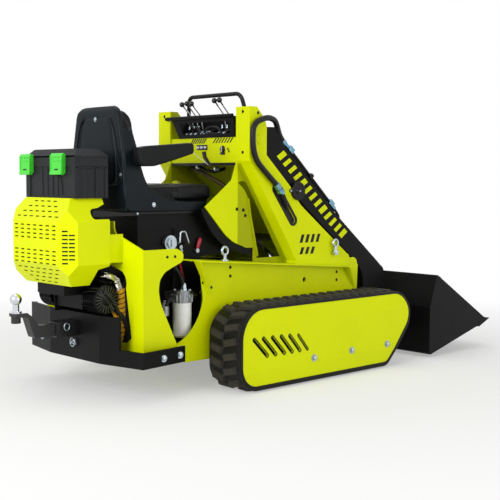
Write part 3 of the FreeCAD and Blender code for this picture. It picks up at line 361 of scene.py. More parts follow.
# %% Finishes of the CAD parts
FINISHES = {
    # towers: lime coat with a painted shade on their inner plates
    tower_paint_with_painted_shade: ["tower_right", "tower_left"],
    lime_paint: ["chassis", "track_cover_right", "track_cover_left", "dash_panel",
                 "front_panel", "support_right", "support_left", "engine_guard"],
    black_paint: ["lift_arms", "quick_attach", "bucket", "rear_bumper", "seat_base", "foot_plate",
                  "lever_box",
                  "track_frame_right", "track_frame_left", "lift_barrel_right", "lift_barrel_left",
                  "tilt_barrel",
                  "engine_block"],
    satin_black: ["seat_plate", "grab_bar"],
    filter_finish: ["oil_filter"],
    lever_finish: ["control_levers"],
    hitch_finish: ["tow_hitch"],
    hard_chrome: ["lift_rod_right", "lift_rod_left", "tilt_rod"],
    zinc_plate: ["eye_bolts", "service_fittings", "arm_tubes"],
    tread_rubber: ["track_right", "track_left"],
    hose_rubber: ["arm_hose"],
    hose_wrap: ["wrapped_hose"],
    box_plastic: ["toolbox_body", "toolbox_lid"],
    latch_plastic: ["toolbox_latches"],
    shell_plastic: ["seat_shell"],
    seat_vinyl: ["back_cushion", "seat_cushion", "armrests"],
}
painted = 0
for finish, names in FINISHES.items():
    for name in names:
        if name in nodes:
            mesh = nodes[name].data
            mesh.materials.clear()
            mesh.materials.append(finish)
            painted += 1
print("painted", painted, "of", len(nodes))

# %% [markdown]
# ## Workshop tools
# Extra pieces are plain meshes in the frame of the machine, so their objects stay at the origin. A
# handful of tools make them: a lathe for turned parts, a block with broken edges, a flat plate cut
# from an outline and a tube along a smooth curve. Each adds to a bmesh, so like parts share a piece.

# %% Shaping tools


def piece(name, mesh, finish, body="machine", crease=35):
    """Link a mesh as one finished piece that rides on a body."""
    obj = bpy.data.objects.new(name, mesh)
    bpy.context.collection.objects.link(obj)
    mesh.materials.clear()
    mesh.materials.append(finish)
    mesh.shade_smooth()
    if crease < 180:
        mesh.set_sharp_from_angle(angle=math.radians(crease))
    if body:
        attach(obj, body)
    return obj


def from_bmesh(name, bm, finish, body="machine", crease=35):
    """Turn a bmesh into a piece with its faces turned outwards."""
    bmesh.ops.recalc_face_normals(bm, faces=bm.faces[:])
    mesh = bpy.data.meshes.new(name)
    bm.to_mesh(mesh)
    bm.free()
    return piece(name, mesh, finish, body, crease)


def frame_of(aim):
    """Two directions square to the aim."""
    aim = Vector(aim).normalized()
    side = aim.orthogonal().normalized()
    return aim, side, aim.cross(side)


def turn_part(bm, start, aim, profile, sides=24):
    """Lathe: rows of (distance along the aim, radius) in millimetres, closed at both ends."""
    aim, u, v = frame_of(aim)
    start = Vector(start) * MM
    rings = []
    for d, r in profile:
        centre = start + aim * d * MM
        rings.append([bm.verts.new(centre + (u * math.cos(a) + v * math.sin(a)) * r * MM)
                      for a in (2 * math.pi * k / sides for k in range(sides))])
    for low, high in zip(rings, rings[1:]):
        for k in range(sides):
            bm.faces.new((low[k], low[(k + 1) % sides], high[(k + 1) % sides], high[k]))
    bm.faces.new(rings[0][::-1])
    bm.faces.new(rings[-1])


def block(bm, low, high, edge=1.5, steps=2):
    """Block between two corners in millimetres with broken edges."""
    corners = [bm.verts.new(Vector((low[0] if x else high[0], low[1] if y else high[1],
                                    low[2] if z else high[2])) * MM)
               for x in (0, 1) for y in (0, 1) for z in (0, 1)]
    quads = [(0, 1, 3, 2), (4, 6, 7, 5), (0, 4, 5, 1), (2, 3, 7, 6), (0, 2, 6, 4), (1, 5, 7, 3)]
    faces = [bm.faces.new([corners[k] for k in q]) for q in quads]
    bmesh.ops.recalc_face_normals(bm, faces=faces)
    edges = list({e for f in faces for e in f.edges})
    bmesh.ops.bevel(bm, geom=edges, offset=edge * MM, segments=steps, affect="EDGES", profile=0.5)


def cut_plate(bm, outline, across, start, thick, edge=0.0):
    """Flat plate: an outline of two coordinates, extruded along the third axis (0, 1 or 2)."""
    spare = [k for k in range(3) if k != across]
    faces = []
    rows = []
    for level in (start, start + thick):
        row = []
        for a, b in outline:
            xyz = [0, 0, 0]
            xyz[spare[0]], xyz[spare[1]], xyz[across] = a * MM, b * MM, level * MM
            row.append(bm.verts.new(xyz))
        rows.append(row)
    n = len(outline)
    for k in range(n):
        faces.append(bm.faces.new((rows[0][k], rows[0][(k + 1) % n], rows[1][(k + 1) % n], rows[1][k])))
    faces += [bm.faces.new(rows[0][::-1]), bm.faces.new(rows[1])]
    bmesh.ops.recalc_face_normals(bm, faces=faces)
    if edge:
        rim = [e for f in faces[-2:] for e in f.edges]
        bmesh.ops.bevel(bm, geom=rim, offset=edge * MM, segments=2, affect="EDGES", profile=0.5)


def tube_mesh(name, points, radius, ring=3, steps=8, closed=False):
    """Mesh of a round tube along a smooth curve through the region of the given points."""
    curve = bpy.data.curves.new(name, "CURVE")
    curve.dimensions = "3D"
    spline = curve.splines.new("NURBS")
    spline.points.add(len(points) - 1)
    for knot, xyz in zip(spline.points, points):
        knot.co = (xyz[0] * MM, xyz[1] * MM, xyz[2] * MM, 1)
    spline.order_u = min(3, len(points))
    spline.use_cyclic_u = closed
    spline.use_endpoint_u = not closed
    curve.resolution_u = steps
    curve.bevel_depth = radius * MM
    curve.bevel_resolution = ring
    curve.use_fill_caps = not closed
    holder = bpy.data.objects.new(name, curve)
    bpy.context.collection.objects.link(holder)
    bpy.context.view_layer.update()
    mesh = bpy.data.meshes.new_from_object(holder.evaluated_get(bpy.context.evaluated_depsgraph_get()))
    bpy.data.objects.remove(holder)
    mesh.name = name
    return mesh


def tube(name, points, radius, finish, body="machine", ring=3, steps=8, closed=False):
    return piece(name, tube_mesh(name, points, radius, ring, steps, closed), finish, body, 60)


print("tools ready")

# %% [markdown]
# ## Screws
# A machine like this shows some eighty screw heads. They are all one idea: a washer, a hexagon or a
# round head and a low crown. A small Geometry Nodes tree builds that head from named sizes and sets it
# on every point of a list, turned along the direction that the point carries.

# %% Geometry Nodes tree for a screw head


def screw_tree():
    tree = bpy.data.node_groups.new("screw heads", "GeometryNodeTree")
    face = tree.interface
    face.new_socket("Places", in_out="INPUT", socket_type="NodeSocketGeometry")
    for label, value in (("Head Radius", 0.008), ("Head Height", 0.006), ("Washer Radius", 0.012),
                         ("Washer Height", 0.002), ("Crown", 0.002)):
        face.new_socket(label, in_out="INPUT", socket_type="NodeSocketFloat").default_value = value
    face.new_socket("Sides", in_out="INPUT", socket_type="NodeSocketInt").default_value = 6
    face.new_socket("Finish", in_out="INPUT", socket_type="NodeSocketMaterial")
    face.new_socket("Heads", in_out="OUTPUT", socket_type="NodeSocketGeometry")
    given = add(tree, "NodeGroupInput").outputs
    half_head = add(tree, "ShaderNodeMath", {"operation": "MULTIPLY", 1: 0.5}, {0: given["Head Height"]})
    half_disc = add(tree, "ShaderNodeMath", {"operation": "MULTIPLY", 1: 0.5}, {0: given["Washer Height"]})
    disc = add(tree, "GeometryNodeMeshCylinder", {"Vertices": 16},
               {"Radius": given["Washer Radius"], "Depth": given["Washer Height"]})
    disc_up = add(tree, "ShaderNodeCombineXYZ", links={"Z": half_disc.outputs[0]})
    disc = add(tree, "GeometryNodeTransform", links={"Geometry": disc.outputs["Mesh"],
                                                     "Translation": disc_up.outputs[0]})
    head = add(tree, "GeometryNodeMeshCylinder", {}, {"Vertices": given["Sides"],
                                                      "Radius": given["Head Radius"],
                                                       "Depth": given["Head Height"]})
    lift = add(tree, "ShaderNodeMath", {"operation": "ADD"}, {0: half_head.outputs[0],
                                                              1: given["Washer Height"]})
    head_up = add(tree, "ShaderNodeCombineXYZ", links={"Z": lift.outputs[0]})
    head = add(tree, "GeometryNodeTransform", links={"Geometry": head.outputs["Mesh"],
                                                     "Translation": head_up.outputs[0]})
    narrow = add(tree, "ShaderNodeMath", {"operation": "MULTIPLY", 1: 0.86}, {0: given["Head Radius"]})
    cap = add(tree, "GeometryNodeMeshUVSphere", {"Segments": 12, "Rings": 6}, {"Radius": narrow.outputs[0]})
    flat = add(tree, "ShaderNodeMath", {"operation": "DIVIDE"}, {0: given["Crown"], 1: narrow.outputs[0]})
    squash = add(tree, "ShaderNodeCombineXYZ", {"X": 1.0, "Y": 1.0}, {"Z": flat.outputs[0]})
    top = add(tree, "ShaderNodeMath", {"operation": "ADD"}, {0: given["Head Height"],
                                                             1: given["Washer Height"]})
    cap_up = add(tree, "ShaderNodeCombineXYZ", links={"Z": top.outputs[0]})
    cap = add(tree, "GeometryNodeTransform", links={"Geometry": cap.outputs["Mesh"],
                                                    "Translation": cap_up.outputs[0],
                                                    "Scale": squash.outputs[0]})
    whole = add(tree, "GeometryNodeJoinGeometry")
    for part in (disc, head, cap):
        tree.links.new(part.outputs[0], whole.inputs[0])
    aim = add(tree, "GeometryNodeInputNamedAttribute", {"data_type": "FLOAT_VECTOR", "Name": "aim"})
    size = add(tree, "GeometryNodeInputNamedAttribute", {"data_type": "FLOAT", "Name": "size"})
    turned = add(tree, "FunctionNodeAlignRotationToVector", {"axis": "Z"}, {"Vector": aim.outputs[0]})
    setout = add(tree, "GeometryNodeInstanceOnPoints", links={"Points": given["Places"],
                                                              "Instance": whole.outputs[0],
                                                              "Rotation": turned.outputs[0],
                                                              "Scale": size.outputs[0]})
    real = add(tree, "GeometryNodeRealizeInstances", links={0: setout.outputs[0]})
    done = add(tree, "GeometryNodeSetMaterial", links={"Geometry": real.outputs[0],
                                                       "Material": given["Finish"]})
    add(tree, "NodeGroupOutput", links={"Heads": done.outputs[0]})
    return tree


def points_mesh(name, rows):
    """Points that carry the direction and size of what is set on them; places in millimetres."""
    mesh = bpy.data.meshes.new(name)
    mesh.from_pydata([Vector(row[0]) * MM for row in rows], [], [])
    mesh.attributes.new("aim", "FLOAT_VECTOR", "POINT")
    mesh.attributes.new("size", "FLOAT", "POINT")
    for k, row in enumerate(rows):
        mesh.attributes["aim"].data[k].vector = Vector(row[1]).normalized()
        mesh.attributes["size"].data[k].value = row[2] if len(row) > 2 else 1.0
    return mesh


def grow(name, mesh, tree, settings, body="machine", crease=35):
    """Run a Geometry Nodes tree on a mesh and keep the result as a plain piece."""
    obj = bpy.data.objects.new(name, mesh)
    bpy.context.collection.objects.link(obj)
    nodes_modifier = obj.modifiers.new("made", "NODES")
    nodes_modifier.node_group = tree
    sockets = {item.name: item.identifier for item in tree.interface.items_tree if item.in_out == "INPUT"}
    for label, value in settings.items():
        nodes_modifier[sockets[label]] = value
    obj.update_tag()
    bpy.context.view_layer.update()
    made = bpy.data.meshes.new_from_object(obj.evaluated_get(bpy.context.evaluated_depsgraph_get()))
    bpy.data.objects.remove(obj)
    made.name = name
    finish = settings["Finish"]
    return piece(name, made, finish, body, crease)


SCREW_TREE = screw_tree()
print("screw tree nodes:", len(SCREW_TREE.nodes))
# %% [markdown]
# Every row below is one screw: its place on the sheet, the way its head faces and its size. The rows
# on one side are mirrored to the other, because the machine is the same on both sides.

# %% Screw places
OUT_R, OUT_L, REAR = (0, -1, 0), (0, 1, 0), (-1, 0, 0)


def both(rows):
    """Rows of the right-hand side and their mirror images."""
    return rows + [((p[0], -p[1], p[2]), (a[0], -a[1], a[2])) + tuple(rest) for p, a, *rest in rows]


cover_bolts = both([((-115, -563.5, 113), OUT_R, 1.55), ((149, -563.5, 118), OUT_R, 1.55),
                    ((417, -563.5, 119), OUT_R, 1.55)])
frame_bolts = both([((-825, -370, 604), OUT_R, 0.62), ((-783, -370, 604), OUT_R, 0.62),
                    ((-612, -328.5, 557), OUT_R, 0.6), ((-590, -328.5, 476), OUT_R, 0.6),
                    ((-605, -328.5, 434), OUT_R, 0.6), ((-540, -328.5, 451), OUT_R, 0.6),
                    ((-426, -328.5, 535), OUT_R, 0.7), ((-426, -328.5, 495), OUT_R, 0.7),
                    ((-313, -248.2, 795), OUT_R, 0.8), ((-272, -248.2, 790), OUT_R, 0.8),
                    ((-259, -248.2, 764), OUT_R, 0.8), ((-315, -288, 1245), REAR, 0.7),
                    ((-315, -288, 1058), REAR, 0.7), ((-262, -334, 1240), OUT_R, 0.7),
                    ((300, -328.5, 470), OUT_R, 0.7), ((300, -328.5, 430), OUT_R, 0.7)])
bumper_bolts = [((-879, -413, 182), (-0.14, -1, 0), 1.3), ((-779, -398.5, 183), (-0.14, -1, 0), 1.3),
                ((-879, 413, 182), (-0.14, 1, 0), 1.3), ((-779, 398.5, 183), (-0.14, 1, 0), 1.3)]
seat_bolts = [((-927, 5, 1193), REAR, 1.0), ((-927, -181, 950), REAR, 1.0), ((-927, 181, 950), REAR, 1.0),
              ((-768, -205, 821), OUT_R, 1.0), ((-768, 205, 821), OUT_L, 1.0),
              ((-860, -209, 784), OUT_R, 0.5),
              ((-860, 209, 784), OUT_L, 0.5)]
HEX = {"Head Radius": 0.0075, "Head Height": 0.0055, "Washer Radius": 0.0115, "Washer Height": 0.0018,
       "Crown": 0.0012, "Sides": 6}
BUTTON = {"Head Radius": 0.0085, "Head Height": 0.0018, "Washer Radius": 0.0105, "Washer Height": 0.001,
          "Crown": 0.0034, "Sides": 16}
grow("cover_screws", points_mesh("cover_screws", cover_bolts), SCREW_TREE, dict(HEX, Finish=zinc_plate))
grow("frame_screws", points_mesh("frame_screws", frame_bolts), SCREW_TREE, dict(BUTTON, Finish=satin_black))
grow("bumper_screws", points_mesh("bumper_screws", bumper_bolts), SCREW_TREE, dict(HEX, Finish=zinc_plate))
grow("seat_screws", points_mesh("seat_screws", seat_bolts), SCREW_TREE, dict(BUTTON, Finish=zinc_plate))
print("screws:", len(cover_bolts + frame_bolts + bumper_bolts + seat_bolts))
# %% [markdown]
# ## Rubber tracks
# Each track is one moulded rubber belt with two staggered rows of chunky lugs and a smooth band along
# both edges. The belt is a strip swept round the four wheels. The lugs could be modelled one by one,
# but they follow a rule, so a tree sets one tapered lug on every point of the loop.

# %% The loop round the wheels
WHEELS = [(-470, 115, 115), (405, 62, 62), (480, 256, 129), (-435, 235, 150)]
LUG_HIGH, BELT_THICK, LUG_COUNT = 18, 14, 44
TRACK_INNER, TRACK_OUTER = 342, 548


def loop_runs(inset):
    """Arcs and straights of the loop at a depth below the lug tips."""
    leaves = []
    for (x1, z1, r1), (x2, z2, r2) in zip(WHEELS, WHEELS[1:] + WHEELS[:1]):
        lean = math.acos((r1 - r2) / math.dist((x1, z1), (x2, z2)))
        leaves.append(math.atan2(z2 - z1, x2 - x1) - lean)
    runs = []
    for k, (x, z, r) in enumerate(WHEELS):
        first, last = leaves[k - 1], leaves[k]
        while last < first:
            last += 2 * math.pi
        runs.append(("arc", x, z, r - inset, first, last))
        x2, z2, r2 = WHEELS[(k + 1) % 4]
        a = (x + (r - inset) * math.cos(last), z + (r - inset) * math.sin(last))
        b = (x2 + (r2 - inset) * math.cos(last), z2 + (r2 - inset) * math.sin(last))
        runs.append(("line", a, b, last))
    return runs


def run_size(run):
    return run[3] * (run[5] - run[4]) if run[0] == "arc" else math.dist(run[1], run[2])


def loop_at(runs, s):
    """Point and outward angle at a length along the loop."""
    s %= sum(run_size(r) for r in runs)
    for run in runs:
        size = run_size(run)
        if s <= size:
            if run[0] == "arc":
                a = run[4] + (run[5] - run[4]) * s / size
                return (run[1] + run[3] * math.cos(a), run[2] + run[3] * math.sin(a)), a
            t = s / size
            return tuple(p + (q - p) * t for p, q in zip(run[1], run[2])), run[3]
        s -= size
    return runs[0][1:3], runs[0][4]


ground = loop_runs(LUG_HIGH)
loop_length = sum(run_size(r) for r in ground)
print("loop", round(loop_length), "mm, pitch", round(loop_length / LUG_COUNT, 1), "mm")

# %% Belt body
BELT_STEPS = 176


def belt_mesh(side):
    """Closed belt: outer skin with a rounded shoulder at both edges, plain inner skin."""
    section = [(TRACK_INNER + 1.5, LUG_HIGH + BELT_THICK), (TRACK_INNER, LUG_HIGH + BELT_THICK - 2),
               (TRACK_INNER, LUG_HIGH + 4), (TRACK_INNER + 5, LUG_HIGH), (TRACK_INNER + 18, LUG_HIGH - 2),
               (TRACK_OUTER - 18, LUG_HIGH - 2), (TRACK_OUTER - 5, LUG_HIGH), (TRACK_OUTER, LUG_HIGH + 4),
               (TRACK_OUTER, LUG_HIGH + BELT_THICK - 2), (TRACK_OUTER - 1.5, LUG_HIGH + BELT_THICK)]
    bm = bmesh.new()
    rows = []
    for k in range(BELT_STEPS):
        (x, z), a = loop_at(ground, loop_length * k / BELT_STEPS)
        rows.append([bm.verts.new(((x - (d - LUG_HIGH) * math.cos(a)) * MM, side * y * MM,
                                   (z - (d - LUG_HIGH) * math.sin(a)) * MM)) for y, d in section])
    for k in range(BELT_STEPS):
        here, there = rows[k], rows[(k + 1) % BELT_STEPS]
        for j in range(len(section)):
            i = (j + 1) % len(section)
            bm.faces.new((here[j], here[i], there[i], there[j]))
    bmesh.ops.recalc_face_normals(bm, faces=bm.faces[:])
    mesh = bpy.data.meshes.new("belt")
    bm.to_mesh(mesh)
    bm.free()
    return mesh


# %% Geometry Nodes tree for the lugs


def lug_tree():
    """A tapered, worn lug on every point, its length along Y, skewed by an angle."""
    tree = bpy.data.node_groups.new("tread lugs", "GeometryNodeTree")
    face = tree.interface
    face.new_socket("Places", in_out="INPUT", socket_type="NodeSocketGeometry")
    for label, value in (("Lug Long", 0.08), ("Lug Wide", 0.036), ("Lug High", 0.018), ("Taper", 0.8),
                         ("Skew", 0.0), ("Tread Wear", 0.0035)):
        face.new_socket(label, in_out="INPUT", socket_type="NodeSocketFloat").default_value = value
    face.new_socket("Finish", in_out="INPUT", socket_type="NodeSocketMaterial")
    face.new_socket("Lugs", in_out="OUTPUT", socket_type="NodeSocketGeometry")
    given = add(tree, "NodeGroupInput").outputs
    lug = add(tree, "GeometryNodeMeshCone", {"Vertices": 4, "Fill Segments": 1, "Side Segments": 2,
                                             "Radius Bottom": 0.7071,
                                             "Depth": 1.0}, {})
    taper = add(tree, "ShaderNodeMath", {"operation": "MULTIPLY", 1: 0.7071}, {0: given["Taper"]})
    tree.links.new(taper.outputs[0], lug.inputs["Radius Top"])
    sizes = add(tree, "ShaderNodeCombineXYZ", links={"X": given["Lug Wide"], "Y": given["Lug Long"],
                                                     "Z": given["Lug High"]})
    square = add(tree, "GeometryNodeTransform", {"Rotation": (0, 0, math.radians(45))},
                 {"Geometry": lug.outputs["Mesh"]})
    fine = add(tree, "GeometryNodeSubdivideMesh", {"Level": 2}, {"Mesh": square.outputs[0]})
    spin = add(tree, "ShaderNodeCombineXYZ", links={"Z": given["Skew"]})
    turn = add(tree, "FunctionNodeEulerToRotation", links={0: spin.outputs[0]})
    lug = add(tree, "GeometryNodeTransform", links={"Geometry": fine.outputs[0], "Scale": sizes.outputs[0],
                                                    "Rotation": turn.outputs[0]})
    aim = add(tree, "GeometryNodeInputNamedAttribute", {"data_type": "FLOAT_VECTOR", "Name": "aim"})
    size = add(tree, "GeometryNodeInputNamedAttribute", {"data_type": "FLOAT", "Name": "size"})
    turned = add(tree, "FunctionNodeAlignRotationToVector", {"axis": "Z", "pivot_axis": "Y"},
                 {"Vector": aim.outputs[0]})
    row = add(tree, "GeometryNodeInstanceOnPoints", links={"Points": given["Places"],
                                                           "Instance": lug.outputs[0],
                                                           "Rotation": turned.outputs[0],
                                                           "Scale": size.outputs[0]})
    real = add(tree, "GeometryNodeRealizeInstances", links={0: row.outputs[0]})
    noise = add(tree, "ShaderNodeTexNoise", {"Scale": 45.0, "Detail": 2.0})
    middle = add(tree, "ShaderNodeVectorMath", {"operation": "SUBTRACT", 1: (0.5, 0.5, 0.5)},
                 {0: noise.outputs["Color"]})
    worn = add(tree, "ShaderNodeVectorMath", {"operation": "SCALE"},
               {0: middle.outputs[0], "Scale": given["Tread Wear"]})
    rough = add(tree, "GeometryNodeSetPosition", links={"Geometry": real.outputs[0],
                                                        "Offset": worn.outputs[0]})
    done = add(tree, "GeometryNodeSetMaterial", links={"Geometry": rough.outputs[0],
                                                       "Material": given["Finish"]})
    add(tree, "NodeGroupOutput", links={"Lugs": done.outputs[0]})
    return tree


LUG_TREE = lug_tree()
LUG_FOOT = -4.6  # a lug's foot is sunk in the belt, so that its worn top ends at the ground
half_wide = (TRACK_OUTER - TRACK_INNER) / 2
row_long = half_wide - 18 + 4
for side, word in ((-1, "right"), (1, "left")):
    for column, shift in ((0, 0.0), (1, 0.5)):
        rows = []
        y = side * (TRACK_OUTER - 16 - row_long / 2 if column == 0 else TRACK_INNER + 16 + row_long / 2)
        for k in range(LUG_COUNT):
            (x, z), a = loop_at(ground, (k + shift + 0.27) * loop_length / LUG_COUNT)
            c, s = math.cos(a), math.sin(a)
            rows.append(((x + LUG_FOOT * c, y, z + LUG_FOOT * s), (c, 0, s)))
        name = "lugs_%s_%s" % (word, ("outer", "inner")[column])
        lugs = grow(name, points_mesh(name, rows), LUG_TREE,
                    {"Lug Long": row_long * MM, "Lug Wide": 0.037, "Lug High": (LUG_HIGH + 2.5) * MM,
                     "Taper": 0.74,
                     "Skew": side * math.radians(13 if column else -13), "Finish": tread_rubber}, crease=32)
    belt = piece("belt_" + word, belt_mesh(side), band_rubber)
    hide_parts("track_" + word)
    print(word, "lugs", 2 * len(rows), "faces", len(lugs.data.polygons))

# %% [markdown]
# The belt stands a little proud of the yellow cover and frames it with a dark line. That line is drawn
# here as the rubber edging pressed over the rim of the cover; narrow edging also lines its six slots.

# %% Edging of the covers
COVER_BACK, COVER_FACE = 551, 564


def cover_y(z):
    """Outer face of the pressed cover at a height."""
    if z > 291:
        t = (400 - z) / (400 - 291)
    else:
        t = min(1.0, z / 94)
    return COVER_BACK + 3 + (COVER_FACE - COVER_BACK - 3) * min(1.0, max(0.0, t))


def edging_mesh(bm, side):
    rim = loop_runs(8)
    length = sum(run_size(r) for r in rim)
    rows = []
    for k in range(BELT_STEPS):
        (x, z), a = loop_at(rim, length * k / BELT_STEPS)
        wide = 12 + 9 * max(0.0, -math.sin(a))
        row = []
        for inset, lift in ((-0.5, None), (-0.5, 1.2), (1.0, 2.2), (wide - 1, 2.2), (wide, 1.2),
                            (wide, -0.6)):
            px, pz = x - inset * math.cos(a), z - inset * math.sin(a)
            py = COVER_BACK + 0.5 if lift is None else cover_y(pz) + lift
            row.append(bm.verts.new((px * MM, side * py * MM, pz * MM)))
        rows.append(row)
    for k in range(BELT_STEPS):
        here, there = rows[k], rows[(k + 1) % BELT_STEPS]
        for j in range(6):
            i = (j + 1) % 6
            bm.faces.new((here[j], here[i], there[i], there[j]))


def edging(bm, p, q, inner, outer, start, thick):
    """Band round a straight slot: from the width of its opening to the outer width."""
    aim = Vector((q[0] - p[0], q[1] - p[1])).normalized()
    off = Vector((-aim[1], aim[0]))
    rows = []
    for width, level in ((inner, start), (outer, start), (outer - 3, start + thick),
                         (inner, start + thick)):
        row = []
        for k in range(32):
            a = math.pi * (k if k < 16 else k - 1) / 15 if k < 16 else math.pi * (k - 16) / 15 + math.pi
            end = Vector(q) if k >= 16 else Vector(p)
            spot = end + (off * math.cos(a) - aim * math.sin(a)) * width / 2
            row.append(bm.verts.new((spot[0] * MM, level * MM, spot[1] * MM)))
        rows.append(row)
    for i in range(4):
        for k in range(32):
            a, b = rows[i], rows[(i + 1) % 4]
            bm.faces.new((a[k], a[(k + 1) % 32], b[(k + 1) % 32], b[k]))


SLOTS = [(-498, 237, -419, 160, 15), (-442, 237, -367, 160, 15), (-386, 236, -312, 160, 15),
         (-331, 235, -262, 160, 15), (-277, 233, -211, 160, 14), (-221, 230, -161, 160, 10)]
bm = bmesh.new()
for side in (-1, 1):
    edging_mesh(bm, side)
    for x1, z1, x2, z2, wide in SLOTS:
        edging(bm, (x1, z1), (x2, z2), wide - 1, wide + 8, side * (COVER_FACE - 1), side * 2.2)
from_bmesh("cover_edging", bm, band_rubber)
print("cover edging faces", BELT_STEPS * 12)
# %% [markdown]
# ## Seat
# The seat is a moulded shell with two sewn vinyl pads. The pads are foam in a tight cover: they crown
# in the middle and pull in at the seams. Carving that by hand looks stiff, so each pad's CAD solid is
# remeshed into an even skin and swollen by a cloth simulation with air inside; the way a point may
# travel is capped, so that the pad stays in its place.

# %% Soft pads by cloth simulation


def skin_of(*names, voxel=5.0):
    """One closed, even mesh round the CAD solids of some nodes."""
    bm = bmesh.new()
    for name in names:
        bm.from_mesh(nodes[name].data)
    bmesh.ops.remove_doubles(bm, verts=bm.verts[:], dist=0.02 * MM)
    mesh = bpy.data.meshes.new("skin")
    bm.to_mesh(mesh)
    bm.free()
    obj = bpy.data.objects.new("skin", mesh)
    bpy.context.collection.objects.link(obj)
    remesh = obj.modifiers.new("even skin", "REMESH")
    remesh.mode = "VOXEL"
    remesh.voxel_size = voxel * MM
    bpy.context.view_layer.update()
    made = bpy.data.meshes.new_from_object(obj.evaluated_get(bpy.context.evaluated_depsgraph_get()))
    bpy.data.objects.remove(obj)
    return made


def swell(mesh, pressure, cap_mm, pinned=None, frames=20):
    """Swell a closed skin with air and let no point travel further than the cap."""
    start = [v.co.copy() for v in mesh.vertices]
    obj = bpy.data.objects.new("pad", mesh)
    bpy.context.collection.objects.link(obj)
    cloth = obj.modifiers.new("cloth", "CLOTH")
    cloth.settings.use_pressure = True
    cloth.settings.uniform_pressure_force = pressure
    cloth.settings.effector_weights.gravity = 0
    cloth.settings.quality = 5
    cloth.settings.mass = 0.3
    cloth.settings.tension_stiffness = 12
    cloth.settings.compression_stiffness = 12
    cloth.settings.bending_stiffness = 0.6
    if pinned:
        group = obj.vertex_groups.new(name="sewn")
        for k, v in enumerate(start):
            group.add([k], pinned(v), "REPLACE")
        cloth.settings.vertex_group_mass = "sewn"
    scene = bpy.context.scene
    for f in range(1, frames + 1):
        scene.frame_set(f)
    moved = bpy.data.meshes.new_from_object(obj.evaluated_get(bpy.context.evaluated_depsgraph_get()))
    bpy.data.objects.remove(obj)
    scene.frame_set(1)
    for v, home in zip(moved.vertices, start):
        travel = v.co - home
        if travel.length > cap_mm * MM:
            v.co = home + travel.normalized() * cap_mm * MM
    return moved


def relax(mesh, rounds, weight=0.5):
    """Average every point with its neighbours a few times."""
    bm = bmesh.new()
    bm.from_mesh(mesh)
    for _ in range(rounds):
        bmesh.ops.smooth_vert(bm, verts=bm.verts[:], factor=weight, use_axis_x=True, use_axis_y=True,
                              use_axis_z=True)
    bm.to_mesh(mesh)
    bm.free()
    return mesh


def shape_points(mesh, rule):
    """Move every point by a rule that takes and returns millimetres."""
    for v in mesh.vertices:
        v.co = Vector(rule(*(v.co / MM))) * MM
    mesh.update()
    return mesh


def groove(distance, wide, deep):
    """Depth of a sewn channel at a distance from its line."""
    t = abs(distance) / wide
    return deep * (1 - t * t) ** 2 if t < 1 else 0.0


print("pad tools ready; quick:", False)

# %% [markdown]
# The seat pad rests flat on the shell and overhangs its wings in front. After the swelling, a stitched
# channel runs round the top a hand's breadth in from the edge and two more run across it.

# %% Seat pad


def seat_pad_rule(x, y, z):
    top = min(1.0, max(0.0, (z - 872) / 20))
    side = abs(y)
    edge = 132 if x < -600 else 150
    channel = groove(side - edge, 9, 5.5) * (-800 < x < -440)
    across = groove(x + 610, 9, 4.0) * (side < edge)
    front = groove(x + 446, 10, 4.5) * (side < edge + 6)
    return x, y, z - top * max(channel, across, front)


def seat_pinned(v):
    """The base and the back of the pad are held by the shell."""
    z = v.z / MM
    return 1.0 if z < 818 else (0.55 if z < 836 else 0.0)


pad = relax(skin_of("seat_cushion", voxel=5), 6)
pad = swell(pad, 3.5, 7, seat_pinned)
low, high = [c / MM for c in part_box("seat_cushion")]
shape_points(pad, seat_pad_rule)
shape_points(pad, lambda x, y, z: (min(max(x, low.x), high.x), min(max(y, low.y - 2), high.y + 2),
                                   max(z, low.z)))
seat_pad = piece("seat_pad", pad, seat_vinyl, crease=180)
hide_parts("seat_cushion")
print("seat pad points", len(pad.vertices))

# %% Back pad


def back_pad_rule(x, y, z):
    face = min(1.0, max(0.0, (x + 868) / 16))
    side = abs(y)
    edge = 118 - max(0.0, (z - 1050)) * 0.12
    channel = groove(side - edge, 9, 5.5) * (930 < z < 1205)
    across = max(groove(z - 1000, 9, 4.0), groove(z - 1110, 9, 4.0)) * (side < edge)
    return x - face * max(channel, across), y, z


pad = relax(skin_of("back_cushion", voxel=5), 6)
pad = swell(pad, 3.5, 7, lambda v: 1.0 if v.x / MM < -890 else 0.0)
low, high = [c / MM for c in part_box("back_cushion")]
shape_points(pad, back_pad_rule)
shape_points(pad, lambda x, y, z: (max(x, low.x), min(max(y, low.y), high.y), max(z, low.z)))
back_pad = piece("back_pad", pad, seat_vinyl, crease=180)
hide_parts("back_cushion")
print("back pad points", len(pad.vertices))

# %% [markdown]
# Armrests are foam over a steel bracket, skinned in one piece of self-skinning polyurethane: no seams,
# only broad rounded edges. The same even skin, relaxed more strongly, gives exactly that.

# %% Armrests
rests = relax(skin_of("armrests", voxel=4), 14)
arm_pads = piece("arm_pads", rests, seat_vinyl, crease=180)
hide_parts("armrests")
print("armrest points", len(rests.vertices))

# %% [markdown]
# The shell is rotation moulded, so every edge is a generous radius. The back also carries a raised
# bead along its outline, where the two halves of the mould meet, and a shallow pressed panel that
# stiffens it. The outline comes from the CAD node; the bead is a thin tube laid along it.

